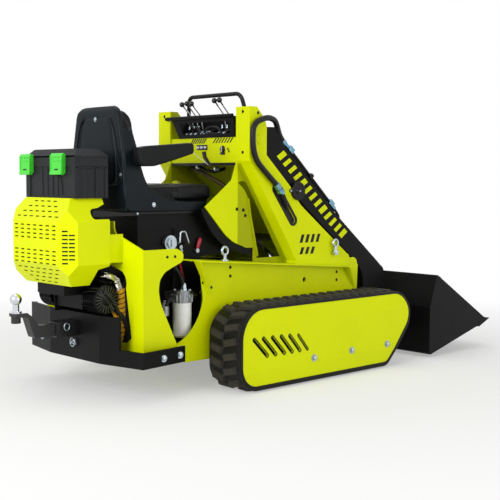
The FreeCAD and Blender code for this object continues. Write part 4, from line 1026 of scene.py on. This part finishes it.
# %% Moulded shell
shell_skin = relax(skin_of("seat_shell", voxel=4), 7)
shell = piece("moulded_shell", shell_skin, shell_plastic, crease=180)
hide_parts("seat_shell")
BEAD = [(-205, 800), (-207, 880), (-204, 960), (-199, 1010), (-190, 1060), (-176, 1130), (-164, 1190),
        (-150, 1226),
        (-118, 1243), (-60, 1247), (0, 1248)]
bead = [(-914, y * 0.985, z - 3) for y, z in BEAD] + [(-914, -y * 0.985, z - 3) for y,
                                                      z in reversed(BEAD[:-1])]
tube("shell_bead", bead, 3.2, shell_plastic, ring=2, steps=5)
PRESSED = [(-92, 1196), (-118, 1184), (-140, 1110), (-150, 1060), (-166, 1010), (-190, 962), (-192, 938),
           (-178, 914),
           (-140, 903)]
pressed = [(-928.5, y, z) for y, z in PRESSED] + [(-928.5, -y, z) for y, z in reversed(PRESSED)]
tube("pressed_line", pressed, 2.6, shell_plastic, ring=2, steps=5)
print("shell points", len(shell_skin.vertices))
# %% [markdown]
# ## Engine bay
# Only what shows between the guard and the post is dressed: the exhaust elbow with its clamp, the
# orange spiral wrap that keeps the hose off hot metal, the cast filter head with plated fittings and
# the pressure lines. A spiral wrap could be a separate ribbon; here the tube's own radius dips along a
# helix, which gives the same dark lines with no loose faces.

# %% Spiral wrap and elbow


def route_of(points, steps=14):
    """Points on the smooth curve of a hose, read from its own spline."""
    flat = tube_mesh("route", points, 0.0, steps=steps)
    route = [v.co.copy() for v in flat.vertices]
    bpy.data.meshes.remove(flat)
    return route


def even_points(route, gap_mm):
    """The route again with points at even distances."""
    out = [route[0].copy()]
    left = gap_mm * MM
    for a, b in zip(route, route[1:]):
        size = (b - a).length
        t = left
        while t < size:
            out.append(a.lerp(b, t / size))
            t += gap_mm * MM
        left = t - size
    return out


def swept(name, route, radius_at, finish, body="machine", sides=20, crease=60):
    """Round skin along even points, its radius in millimetres given by (length, angle)."""
    bm = bmesh.new()
    rings = []
    run = 0.0
    normal = None
    for k, p in enumerate(route):
        ahead = (route[min(k + 1, len(route) - 1)] - route[max(k - 1, 0)]).normalized()
        normal = ahead.orthogonal() if normal is None else normal
        normal = (normal - ahead * normal.dot(ahead)).normalized()
        other = ahead.cross(normal)
        if k:
            run += (p - route[k - 1]).length / MM
        ring = []
        for j in range(sides):
            a = 2 * math.pi * j / sides
            ring.append(bm.verts.new(p + (normal * math.cos(a) + other * math.sin(a)) * radius_at(run, a) * MM))
        rings.append(ring)
    for low, high in zip(rings, rings[1:]):
        for j in range(sides):
            bm.faces.new((low[j], low[(j + 1) % sides], high[(j + 1) % sides], high[j]))
    bm.faces.new(rings[0][::-1])
    bm.faces.new(rings[-1])
    return from_bmesh(name, bm, finish, body, crease)


WRAP_PITCH = 21


def wrap_phase(run, angle):
    """Place on the turn of the spiral, 0 to 1, with the gap first."""
    return (run / WRAP_PITCH - angle / (2 * math.pi)) % 1.0


def wrap_radius(run, angle):
    phase = wrap_phase(run, angle)
    dip = 3.0 if phase < 0.16 else (1.0 if phase < 0.22 or phase > 0.94 else 0.0)
    return 22.5 - 5.5 * min(1.0, max(0.0, (run - 180) / 45)) - dip


hose_route = [(-940, -184, 462), (-938, -184, 430), (-935, -184, 360), (-937, -184, 290), (-944, -182, 230),
              (-948, -180, 175)]
wrap = swept("spiral_wrap", even_points(route_of(hose_route), 1.6), wrap_radius, hose_wrap, sides=28)
wrap.data.materials.append(hose_rubber)
for face in wrap.data.polygons[:-2]:
    ring, spot = divmod(face.index, 28)
    face.material_index = int(wrap_phase((ring + 0.5) * 1.6, 2 * math.pi * (spot + 0.5) / 28) < 0.17)
elbow_route = [(-1012, -105, 520), (-1012, -150, 524), (-1004, -182, 522), (-966, -184, 508),
               (-946, -184, 478), (-940, -184, 440)]
elbow = even_points(route_of(elbow_route), 2)


def elbow_radius(run, angle):
    if run > 130:
        return 18.4 + 0.7 * math.sin(run * 1.6)
    return 20.5 if 118 < run < 130 else 17.5


swept("exhaust_elbow", elbow, elbow_radius, cast_bright, sides=24)
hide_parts("wrapped_hose")
print("wrap faces", len(wrap.data.polygons))

# %% Lines and hoses round the cylinder and the filter
ENGINE_LINES = [  # name, radius, finish, points
    ("fuel_line_high", 5, satin_black, [(-1075, -110, 470), (-1078, -190, 476), (-1070, -262, 470),
                                        (-1052, -300, 430), (-1030, -300, 392), (-1000, -280, 340)]),
    ("choke_cable", 2.5, hose_rubber, [(-1085, -120, 452), (-1088, -190, 466), (-1082, -252, 458),
                                       (-1066, -288, 424), (-1048, -296, 380)]),
    ("return_hose", 9, hose_rubber, [(-985, -150, 380), (-960, -215, 372), (-930, -228, 300),
                                     (-925, -225, 220), (-920, -222, 172)]),
    ("wrap_neighbour", 8, hose_wrap, [(-972, -168, 380), (-968, -205, 340), (-966, -214, 260),
                                      (-960, -214, 175)]),
    ("filter_hose_out", 10, hose_rubber, [(-645, -262, 428), (-645, -262, 470), (-660, -250, 520),
                                          (-690, -228, 560), (-720, -205, 590)]),
    ("filter_hose_in", 10, hose_rubber, [(-686, -250, 412), (-716, -254, 410), (-738, -250, 380),
                                         (-742, -236, 310), (-742, -215, 240), (-735, -190, 180)]),
    ("thin_cable", 3, hose_rubber, [(-760, -188, 590), (-757, -205, 500), (-757, -206, 380),
                                    (-762, -200, 240)]),
    ("battery_cable", 5, red_enamel, [(-610, -188, 560), (-600, -206, 500), (-590, -206, 400),
                                      (-600, -196, 300)]),
]
for name, radius, finish, points in ENGINE_LINES:
    tube(name, points, radius, finish, ring=3, steps=6)
print("engine lines:", len(ENGINE_LINES))

# %% Fittings on the filter head
bm = bmesh.new()
turn_part(bm, (-645, -262, 440), (0, 0, 1), [(0, 15), (10, 15), (11, 12), (26, 12), (27, 9.5), (32, 9.5)],
          6)
turn_part(bm, (-668, -250, 412), (-1, 0, 0), [(0, 16), (9, 16), (9.5, 12.5), (22, 12.5)], 6)
turn_part(bm, (-622, -250, 412), (1, 0, 0), [(0, 17), (8, 17), (8.5, 13), (30, 13), (30.5, 16), (44, 16),
                                             (45, 9), (56, 9)], 6)
turn_part(bm, (-645, -288, 418), (0, -1, 0), [(0, 10), (6, 10), (6.5, 6), (12, 6)], 6)
for k in range(4):
    a = math.radians(45 + 90 * k)
    turn_part(bm, (-645 + 34 * math.cos(a), -250 + 34 * math.sin(a), 439), (0, 0, 1),
              [(0, 6), (5, 6), (5.5, 4), (7, 3)], 6)
from_bmesh("filter_fittings", bm, zinc_plate)
bm = bmesh.new()
for k in range(18):
    a = 2 * math.pi * k / 18
    x, y = -645 + 45.5 * math.cos(a), -250 + 45.5 * math.sin(a)
    turn_part(bm, (x, y, 388), (0, 0, 1), [(0, 2.2), (34, 2.2), (36, 0.8)], 6)
from_bmesh("filter_head_ribs", bm, cast_alloy)
bm = bmesh.new()
turn_part(bm, (-735, -240, 330), (0, 0, 1), [(0, 15), (3, 19), (44, 19), (48, 14), (60, 14), (62, 8),
                                             (70, 8)], 16)
from_bmesh("fuel_strainer", bm, cast_alloy)

# %% Fins over the cylinder: thin radial plates
FAN_X, FAN_Z = -1030, 424


def blade(angle, corners):
    """Outline of a radial plate round the fan's axis, by radius and half thickness."""
    c, s = math.cos(angle), math.sin(angle)
    return [(FAN_X + c * r - s * t, FAN_Z + s * r + c * t) for r, t in corners]


bm = bmesh.new()
for side in (-1, 1):
    tip = 70 if side < 0 else 62
    for k in range(13):
        fin = blade(math.radians(-20 + 220 * k / 12), ((50, -1.2), (tip, -1.2), (tip, 1.2), (50, 1.2)))
        cut_plate(bm, fin, 1, side * 120 if side > 0 else -212, 92)
from_bmesh("cylinder_fins", bm, cast_dark)
print("fins: 26")

# %% Slots of the guard's two slanted corners
# The solid's own pockets stop under the skin here, so each slot is a thin dark inlay in the sheet.
GUARD_BACK, GUARD_HALF, BEVEL, GAP = -1242, 234, 60, 4 + 1.5
GUARD_UPPER, GUARD_LOWER = 753, 577  # upper and lower edge of its flat back
SLOT_PITCH, SLOT_HIGH, SLOT_MIDDLE = 16.5, 6.4, 652
bm = bmesh.new()
sheet = nodes["engine_guard"]
skin = [sheet.matrix_world @ v.co / MM for v in sheet.data.vertices]
for side in (-1, 1):
    tangent, normal = Vector((0.7127, side * 0.7011, 0)), Vector((-0.7011, side * 0.7127, 0))
    reach = max(normal.dot(v) for v in skin)
    for run, count in ((31, 9), (60, 7)):
        middle = Vector((GUARD_BACK, side * (GUARD_HALF - BEVEL), 0)) + tangent * run
        middle += normal * (reach - normal.dot(middle))
        corners = ((-12, -1), (12, -1), (12, 0.35), (-12, 0.35))  # along the sheet and out of it
        outline = [tuple(middle + tangent * a + normal * b)[:2] for a, b in corners]
        for row in range(count):
            z = SLOT_MIDDLE + SLOT_PITCH * (row - (count - 1) / 2)
            cut_plate(bm, outline, 2, z - SLOT_HIGH / 2, SLOT_HIGH, 0)
from_bmesh("corner_slots", bm, band_rubber)

# %% Black foam lining behind the grille
bm = bmesh.new()
block(bm, (-1300, -400, 300), (-1112, 400, 1000), 0)
back = GUARD_BACK + GAP
half, flat, corner = GUARD_HALF - GAP, GUARD_HALF - BEVEL, GUARD_HALF - BEVEL - 0.6 * GAP
cuts = [((back, 0, 0), (-1, 0, 0)), ((back, 0, GUARD_UPPER), (-99, 0, 64)),
        ((back, 0, GUARD_LOWER), (-91, 0, -64)),
        ((0, 0, 852 - GAP), (0, 0, 1)), ((0, 0, 486 + GAP), (0, 0, -1))]
for y in (-1, 1):
    cuts += [((0, y * half, 0), (0, y, 0)), ((back, y * flat, 0), (flat - half, y * 61, 0)),
             ((0, y * half, GUARD_UPPER), (0, y * 99, half - corner)),
             ((0, y * half, GUARD_LOWER), (0, y * 91, corner - half))]
for spot, aim in cuts:
    parts = bm.verts[:] + bm.edges[:] + bm.faces[:]
    made = bmesh.ops.bisect_plane(bm, geom=parts, plane_co=Vector(spot) * MM, plane_no=Vector(aim),
                                  clear_outer=True)
    edges = [e for e in made["geom_cut"] if isinstance(e, bmesh.types.BMEdge)]
    if edges:
        bmesh.ops.contextual_create(bm, geom=edges)
from_bmesh("grille_foam", bm, band_rubber)
print("foam lining in place")

# %% Fan covers, belly baffle and the tank behind the filter
bm = bmesh.new()
ribs = bmesh.new()
for side in (-1, 1):
    cover = [(0, 62), (3, 62), (4, 59), (5, 24), (9, 20), (10, 8)]
    turn_part(bm, (FAN_X, side * 212, FAN_Z), (0, side, 0), cover, 36)
    for k in range(22):
        rib = blade(2 * math.pi * k / 22, ((25, -1.1), (58, -1.5), (58, 1.5), (25, 1.1)))
        cut_plate(ribs, rib, 1, side * 216 if side > 0 else -221, 5)
from_bmesh("fan_covers", bm, cast_dark)
from_bmesh("fan_ribs", ribs, fin_edges)
bm = bmesh.new()
block(bm, (-1084, 97, 352), (-990, 102, 446), 1.5)
block(bm, (-985, -150, 330), (-905, 150, 384), 6)
from_bmesh("belly_baffle", bm, black_paint)
bm = bmesh.new()
block(bm, (-638, -180, 141), (-470, 180, 572), 8, 3)
for y in (-181.5, 181.5):
    turn_part(bm, (-560, y, 470), (0, -1 if y < 0 else 1, 0), [(0, 22), (3, 22), (4, 15), (9, 15), (10, 9)],
              6)
from_bmesh("side_tank", bm, black_paint)
print("fan ribs: 44")

# %% [markdown]
# ## Tail end
# The hitch is a forged ball on a painted shank. The receiver has a linch pin with a ring, and two more rings hang
# on the bumper for lashing the machine down.

# %% Rings and pins of the hitch
LASHING = {"a": 262, "b": -7}
LASHING_Z = 222


def bumper_x(y):
    """Rear face of the bumper, whose ends slope forward."""
    return -1050 if abs(y) < 190 else -1050 + (abs(y) - 190) * 50 / 240


def loop_points(centre, wide, high, count):
    """Points of an upright ring that leans with its width: width in X or Y, height in Z."""
    x, y, z = centre
    turns = [2 * math.pi * k / count for k in range(count)]
    return [(x + wide[0] * math.sin(a), y + wide[1] * math.sin(a), z + high * math.cos(a)) for a in turns]


bm = bmesh.new()
for y in LASHING.values():
    nut = [(0, 15), (2, 15), (2.5, 11), (10, 11), (11, 6), (16, 6)]
    turn_part(bm, (bumper_x(y), y, LASHING_Z), (-1, 0, 0), nut, 6)
from_bmesh("lashing_nuts", bm, zinc_plate)
for tag, y in LASHING.items():
    ring = loop_points((bumper_x(y) - 13, y, LASHING_Z), (0, 17), 19, 12)
    tube("lashing_ring_" + tag, ring, 2.6, zinc_plate, closed=True)
linch = loop_points((-1120, -52, 300), (14, 0), 16, 10)
tube("linch_ring", linch, 2.2, zinc_plate, closed=True)
print("lashing rings: 2")
# %% [markdown]
# ## Controls
# The lever tray holds a bank of spool valves. Through the window in its back one sees their castings,
# plated nuts and short hoses; on the dash below sit a switch plate, a key barrel and a rubber strap.

# %% Valve bank in the tray
SPOOLS = [143, 107, 72, -98, -134]
bm = bmesh.new()
for y in SPOOLS:
    block(bm, (-286, y - 15, 1139), (-250, y + 15, 1164), 2.5)
    block(bm, (-280, y - 9, 1160), (-262, y + 9, 1176), 2)
block(bm, (-282, -40, 1139), (-246, 45, 1170), 3)
from_bmesh("valve_castings", bm, cast_dark)
bm = bmesh.new()
for y in SPOOLS:
    turn_part(bm, (-286, y, 1151), (-1, 0, 0), [(0, 8.5), (6, 8.5), (6.5, 6), (11, 6)], 6)
    turn_part(bm, (-271, y, 1176), (0, 0, 1), [(0, 5), (5, 5), (6, 3.4), (16, 3.4)], 10)
for y in (-20, 5, 30):
    turn_part(bm, (-282, y, 1157), (-1, 0, 0), [(0, 9), (7, 9), (7.5, 6.5), (15, 6.5)], 6)
from_bmesh("valve_nuts", bm, zinc_plate)
TRAY_HOSES = [
    [(-296, 30, 1157), (-299, 36, 1172), (-294, 60, 1188), (-284, 92, 1180), (-281, 107, 1163)],
    [(-296, 5, 1157), (-299, -12, 1176), (-292, -50, 1186), (-283, -84, 1178), (-281, -98, 1163)],
    [(-296, -20, 1157), (-298, -50, 1150), (-294, -100, 1150), (-280, -160, 1160), (-262, -196, 1196)],
    [(-270, 60, 1150), (-262, 100, 1172), (-250, 150, 1186), (-240, 190, 1210)],
]
for k, points in enumerate(TRAY_HOSES):
    tube("tray_hose_%d" % k, points, 5.5, hose_rubber, ring=2, steps=6)
print("spools:", len(SPOOLS))

# %% Switches, key and strap on the dash
bm = bmesh.new()
cut_plate(bm, [(47, 1074), (-31, 1073), (-31, 1098), (47, 1099)], 0, -309, 3, 0.8)
for y in (-184, -178):
    block(bm, (-310, y - 5, 1061 if y == -184 else 1072), (-306, y + 3, 1069 if y == -184 else 1080), 0.8)
turn_part(bm, (-306, -142, 1075), (-1, 0, 0), [(0, 17), (3, 17), (4, 15), (8, 14), (9, 9)], 20)
cut_plate(bm, [(-125, 1060), (-159, 1060), (-157, 1050), (-127, 1050)], 0, -311, 5, 0.8)
from_bmesh("switch_plates", bm, knob_plastic)
bm = bmesh.new()
for y in (34, 8, -18):
    block(bm, (-313, y - 8, 1081), (-308, y + 8, 1091), 1.2)
block(bm, (-318, -144, 1063), (-313, -140, 1087), 1.2)
from_bmesh("rocker_caps", bm, white_plastic)
bm = bmesh.new()
cut_plate(bm, [(9, 1066), (-20, 1066), (-24, 1044), (-52, 1012), (-80, 1000), (-62, 998), (-34, 1006),
               (-2, 1034)], 0, -309, 3, 0.8)
from_bmesh("dash_strap", bm, hose_rubber)
tube("dash_wire", [(-308, 92, 1076), (-312, 60, 1058), (-312, 20, 1034), (-311, -28, 1010),
                   (-308, -44, 1000)], 1.8, white_plastic)
# Painted shade: a black strip along the dash's lower edge stands in for the shaded underside of its flange.
bm = bmesh.new()
block(bm, (-310, -236, 999), (-298, 236, 1011.5), 2)
from_bmesh("dash_underside_shade_strip", bm, hose_rubber)
tube("dash_hose", [(-220, 200, 992), (-214, 120, 968), (-190, 40, 928), (-160, -30, 884), (-120, -90, 838)],
     11, brown_hose)
tube("dash_hose_two", [(-222, 120, 996), (-240, 60, 975), (-236, -10, 968), (-220, -60, 985)], 8,
     hose_rubber)
bm = bmesh.new()
turn_part(bm, (-232, -22, 984), (-1, 0, 0), [(0, 15), (5, 15), (6, 11), (15, 11), (16, 7), (22, 7)], 6)
turn_part(bm, (-232, 120, 992), (-1, 0, 0), [(0, 11), (6, 11), (6.5, 8), (14, 8)], 6)
from_bmesh("dash_fittings", bm, zinc_plate)
bm = bmesh.new()
turn_part(bm, (-511, -197, 616), (20, 0, 54), [(0, 6.4), (3, 8), (30, 9.5), (46, 9), (51, 6), (53, 2)], 16)
from_bmesh("lever_sleeve", bm, red_enamel)

# %% [markdown]
# Groups of slanted bars mark the lever ends of the tray, the arms and the towers. Real machines carry
# stickers in such places; these bars are plain trim, cut as thin film a few tenths of a millimetre thick.

# %% Plain trim bars
bm = bmesh.new()
for first, last in ((96, 2), (-68, -186)):
    n = 7
    for k in range(n):
        y = first + (last - first) * k / (n - 1)
        cut_plate(bm, [(y, 1105), (y - 8.5, 1105), (y - 30, 1129), (y - 21.5, 1129)], 0, -306.6, 0.6)
from_bmesh("dash_trim_bars", bm, satin_black)
ARM_LINE = [(-116, 1073), (262, 736), (640, 444)]


def on_line(s):
    """Point and direction on the middle line of an arm, s millimetres from its upper end."""
    for (x0, z0), (x1, z1) in zip(ARM_LINE, ARM_LINE[1:]):
        size = math.hypot(x1 - x0, z1 - z0)
        u = ((x1 - x0) / size, (z1 - z0) / size)
        if s <= size:
            break
        s -= size
    return (x0 + u[0] * s, z0 + u[1] * s), u


bm = bmesh.new()
for side in (-1, 1):
    for k in range(13):
        (cx, cz), u = on_line(38 + 49 * k)
        long = 22 if k % 4 else 30
        p = [(cx + u[0] * a - u[1] * b, cz + u[1] * a + u[0] * b)
             for a, b in ((-long / 2 - 8, -26), (long / 2 - 8, -26), (long / 2 + 8, 26),
                          (-long / 2 + 8, 26))]
        cut_plate(bm, p, 1, side * 318 if side > 0 else -318.6, 0.6)
from_bmesh("arm_trim_bars", bm, lime_paint, "arms")
bm = bmesh.new()
for side in (-1, 1):
    for row, count, high in ((0, 4, 40), (1, 3, 34)):
        for k in range(count):
            x, z = 22 + 38 * k, 668 - 62 * row
            p = [(x, z - high), (x + 20, z - high), (x + 34, z), (x + 14, z)]
            cut_plate(bm, p, 1, side * 334 if side > 0 else -334.6, 0.6)
from_bmesh("tower_trim_bars", bm, satin_black)
print("trim bars: 54")

# %% [markdown]
# ## Hoses and pins of the arm
# The braided hose leaves the tower, loops over the pivot and runs into the tubes on the arm; on the machine that
# loop lets it bend when the arm lifts, while here it is one fixed mesh. Its braid is a diamond relief on the
# skin.

# %% Braided hose
ARM_HOSE = [(-150, -351, 905), (-240, -351, 976), (-296, -351, 1030), (-313, -351, 1110),
            (-306, -351, 1190), (-222, -349, 1222),
            (-150, -330, 1214), (-112, -308, 1188), (-76, -290, 1138), (-46, -288, 1110)]


def braid_radius(run, angle):
    return 13.2 + 0.7 * math.sin(run * 0.9 + angle * 6) * math.sin(run * 0.9 - angle * 6)


braid = swept("braided_hose", even_points(route_of(ARM_HOSE), 1.5), braid_radius, braid_rubber, body=None,
              sides=28)
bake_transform(braid)
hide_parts("arm_hose")
bm = bmesh.new()
aim = Vector((28, 0, -33)).normalized()
turn_part(bm, (-158, -351, 914), aim, [(0, 14), (3, 17), (28, 17), (30, 14.5), (33, 14.5), (34, 19),
                                       (50, 19), (52, 14)], 6)
turn_part(bm, (-124, -351, 875), (0, 1, 0), [(-13, 12), (-12, 13), (2, 13), (3, 11), (16.8, 11)], 6)
from_bmesh("hose_fittings_tower", bm, blue_zinc)
tube("hose_tail", [(-122, -351, 872), (-104, -351, 848), (-86, -344, 820), (-70, -328, 799),
                   (-62, -316, 788)], 11, hose_rubber)
print("braid points", len(braid.data.vertices))

# %% Rubber edging round the slots of the towers
bm = bmesh.new()
for side in (-1, 1):
    edging(bm, (-140, 890), (-25, 738), 27, 54, side * 334, side * 3.5)
from_bmesh("slot_edging", bm, hose_rubber)
bm = bmesh.new()
for side in (-1, 1):
    cut_plate(bm, [(-172, 893), (-140, 917), (2, 743), (-28, 711)], 1, side * 326.8 - 0.7, 1.4)
from_bmesh("slot_curtain", bm, hose_rubber)

# %% Steel lines on stand-offs along the right-hand arm
OFF_ARM = Vector((0.666, 0, 0.746))
ALONG = Vector((0.746, 0, -0.666))


def above_arm(u, v, y):
    """Point u along the upper edge of the arm and v off it, in millimetres."""
    return tuple(Vector((-85, y, 1107)) + ALONG * u + OFF_ARM * v)


for k, y in enumerate((-297, -279)):
    points = [above_arm(u, v, y) for u, v in ((42, 26), (90, 29), (250, 29), (420, 29), (482, 29),
                                              (506, 26))]
    tube("arm_line_%d" % k, points, 6.2, satin_black, "arms", ring=3, steps=5)
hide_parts("arm_tubes")
bm = bmesh.new()
posts = bmesh.new()
for u in (78, 270, 470):
    wide = 17 if u != 270 else 9
    corners = [above_arm(u + a, v, 0) for a, v in ((-wide, 15), (wide, 15), (wide, 42), (-wide, 42))]
    target = bm if u != 270 else posts
    cut_plate(target, [(c[0], c[2]) for c in corners], 1, -309, 42, 2)
    stand = [above_arm(u + a, v, 0) for a, v in ((-6, -1), (6, -1), (6, 16), (-6, 16))]
    cut_plate(posts, [(c[0], c[2]) for c in stand], 1, -300, 24, 1)
    turn_part(bm, above_arm(u, 42, -288), OFF_ARM, [(0, 6.5), (4.5, 6.5), (5, 4), (8, 4)], 6)
for y in (-297, -279):
    turn_part(bm, above_arm(36, 26.5, y), ALONG, [(0, 8.5), (3, 9.5), (22, 9.5), (24, 7)], 6)
    turn_part(bm, above_arm(492, 28, y), ALONG, [(0, 8), (2, 9.5), (18, 9.5), (20, 7)], 6)
turn_part(bm, above_arm(12, 27, -288), ALONG, [(0, 14), (3, 17), (18, 17), (20, 15), (25, 15)], 12)
from_bmesh("arm_line_clamps", bm, blue_zinc, "arms")
from_bmesh("arm_line_posts", posts, satin_black, "arms")
print("braid faces", len(braid.data.polygons))

# %% Small hoses at the front end of the arm tubes
front_hoses = [
    [(309, -297, 788), (331, -299, 768), (344, -301, 742), (338, -290, 712), (322, -262, 690),
     (318, -225, 676)],
    [(309, -279, 788), (333, -276, 766), (346, -262, 738), (344, -236, 706), (334, -206, 684)],
]
for k, points in enumerate(front_hoses):
    tube("arm_front_hose_%d" % k, points, 7, hose_rubber, "arms", ring=3, steps=8)

# %% Pin heads and grease nipples
NIPPLE = [(0, 3.6), (4, 3.6), (4.4, 2.2), (7, 2.2), (8, 2.9), (10, 1.6)]
bm = bmesh.new()
for side in (-1, 1):
    turn_part(bm, (-250, side * 334, 1120), (0, side, 0), [(0, 24), (2, 24), (3, 22.5), (3.4, 9), (5, 8)],
              32)
from_bmesh("pivot_caps", bm, lime_paint)
bm = bmesh.new()
PIN_HEAD = [(0, 29), (13.5, 29), (13.6, 44), (20, 45), (24, 43), (25, 31), (22.5, 29), (22.5, 17), (26, 15),
            (27, 11)]
for side in (-1, 1):
    turn_part(bm, (3, side * 322, 879), (0, side, 0), PIN_HEAD, 40)
    block(bm, (-52, side * 336 - 3, 872), (-30, side * 336 + 3, 888), 1.5)
from_bmesh("arm_pin_caps", bm, satin_black, "arms")
bm = bmesh.new()
for side in (-1, 1):
    turn_part(bm, (3, side * 348, 879), (0, side, 0), NIPPLE, 8)
    turn_part(bm, (-46, side * 340, 880), (0, side, 0), [(0, 5.5), (3, 5.5), (3.5, 3), (5, 3)], 6)
from_bmesh("arm_pin_nipples", bm, zinc_plate, "arms")
bm = bmesh.new()
for side in (-1, 1):
    turn_part(bm, (620, side * 321, 170), (0, side, 0), [(0, 22), (3, 22), (4, 20), (4.4, 10), (7, 10)], 28)
    turn_part(bm, (620, side * 327, 170), (0, side, 0), NIPPLE, 8)
from_bmesh("tool_pin_caps", bm, zinc_plate, "tool")
print("pins: 6")
# %% [markdown]
# ## Toolbox
# An injection moulded site box: ribs stiffen the walls, a rolled rim runs round the lid and the two
# green latches have a moulded grip with a row of dots and a slot. These are all shallow moulded forms,
# so they are cut plates and blocks with broken edges, in one piece for each body.

# %% Ribs, rim and latch details
bm = bmesh.new()
for side in (-1, 1):
    for x in (-1130, -1100, -1070):
        block(bm, (x - 2, side * 186 - 2, 862), (x + 2, side * 186 + 2.5, 984), 0.8, 1)
    block(bm, (-1162, side * 188 - 2, 976), (-1004, side * 188 + 1.6, 983), 1)
for y in (-60, -20, 20, 60):
    block(bm, (-1165, y - 2, 862), (-1160, y + 2, 984), 0.8, 1)
ARC = [(-30 - 60 * math.sin(a), 985 - 118 * (1 - math.cos(a))) for a in (math.pi / 2 * k / 10 for k in range(11))]
arc = [(y, z) for y, z in ARC] + [(y - 5, z) for y, z in reversed(ARC)]
cut_plate(bm, arc, 0, -1165.5, 3.5)
from_bmesh("toolbox_ribs", bm, box_plastic)
bm = bmesh.new()
for side in (-1, 1):
    block(bm, (-1165.5, side * 189 - 3, 1021), (-1001, side * 189 + 0.9, 1030), 1.8)
block(bm, (-1166, -189, 1021), (-1162, 189, 1030), 1.5)
cut_plate(bm, [(-1128, -140), (-1128, 140), (-1036, 140), (-1036, -140)], 2, 1055, 2.8, 1.2)
for y in (-100, -50, 0, 50, 100):
    block(bm, (-1120, y - 3, 1056), (-1044, y + 3, 1057.9), 0.8, 1)
from_bmesh("toolbox_lid_ribs", bm, box_plastic, "lid")
bm = bmesh.new()
for low, high in ((-122, -34), (128, 212)):
    mid = (low + high) / 2
    for y in (mid - 22, mid, mid + 22):
        turn_part(bm, (-1182.5, y, 1022), (-1, 0, 0), [(0, 3.2), (1.6, 3.2)], 10)
    block(bm, (-1185.2, mid - 14, 968), (-1182, mid + 14, 974), 0.8, 1)
from_bmesh("latch_slots", bm, satin_black)
bm = bmesh.new()
for low, high in ((-122, -34), (128, 212)):
    for y in (low + 4, high - 4):
        block(bm, (-1187, y - 3, 962), (-1182, y + 3, 1030), 1.4)
    block(bm, (-1187, low + 8, 1005), (-1182, high - 8, 1009), 1.2)
from_bmesh("latch_ribs", bm, latch_plastic)
print("toolbox ribs ready")

# %% [markdown]
# ## Welds
# Where plates meet, the welder leaves a row of overlapping ripples. They catch the light as a fine
# line, even under paint. A weld is a thin tube whose radius swells every few millimetres.

# %% Weld beads


def weld(name, points, finish, body):
    route = even_points(route_of(points, steps=6), 2.4)
    return swept(name, route, lambda run, a: 2.6 + 0.8 * abs(math.sin(run * 0.55)), finish, body, sides=8,
                 crease=80)


for side, tag in ((-1, "right"), (1, "left")):
    weld("weld_tool_" + tag, [(775, side * 243, 84), (775, side * 243, 180), (775, side * 243, 306)],
         black_paint, "tool")
    weld("weld_arm_" + tag, [(200, side * 258, 727), (214, side * 258, 733), (230, side * 258, 727),
                             (246, side * 258, 744),
                             (260, side * 258, 757)], black_paint, "arms")
    weld("weld_bucket_" + tag, [(808, side * 536, 60), (808, side * 536, 160), (808, side * 536, 262)],
         black_paint, "tool")
    weld("weld_hull_" + tag, [(-600, side * 329.5, 571), (-200, side * 329.5, 539),
                              (340, side * 329.5, 495)], lime_paint, "machine")
weld("weld_floor", [(822, -530, 34), (1000, -530, 74), (1240, -530, 129)], black_paint, "tool")
print("weld beads: 9")
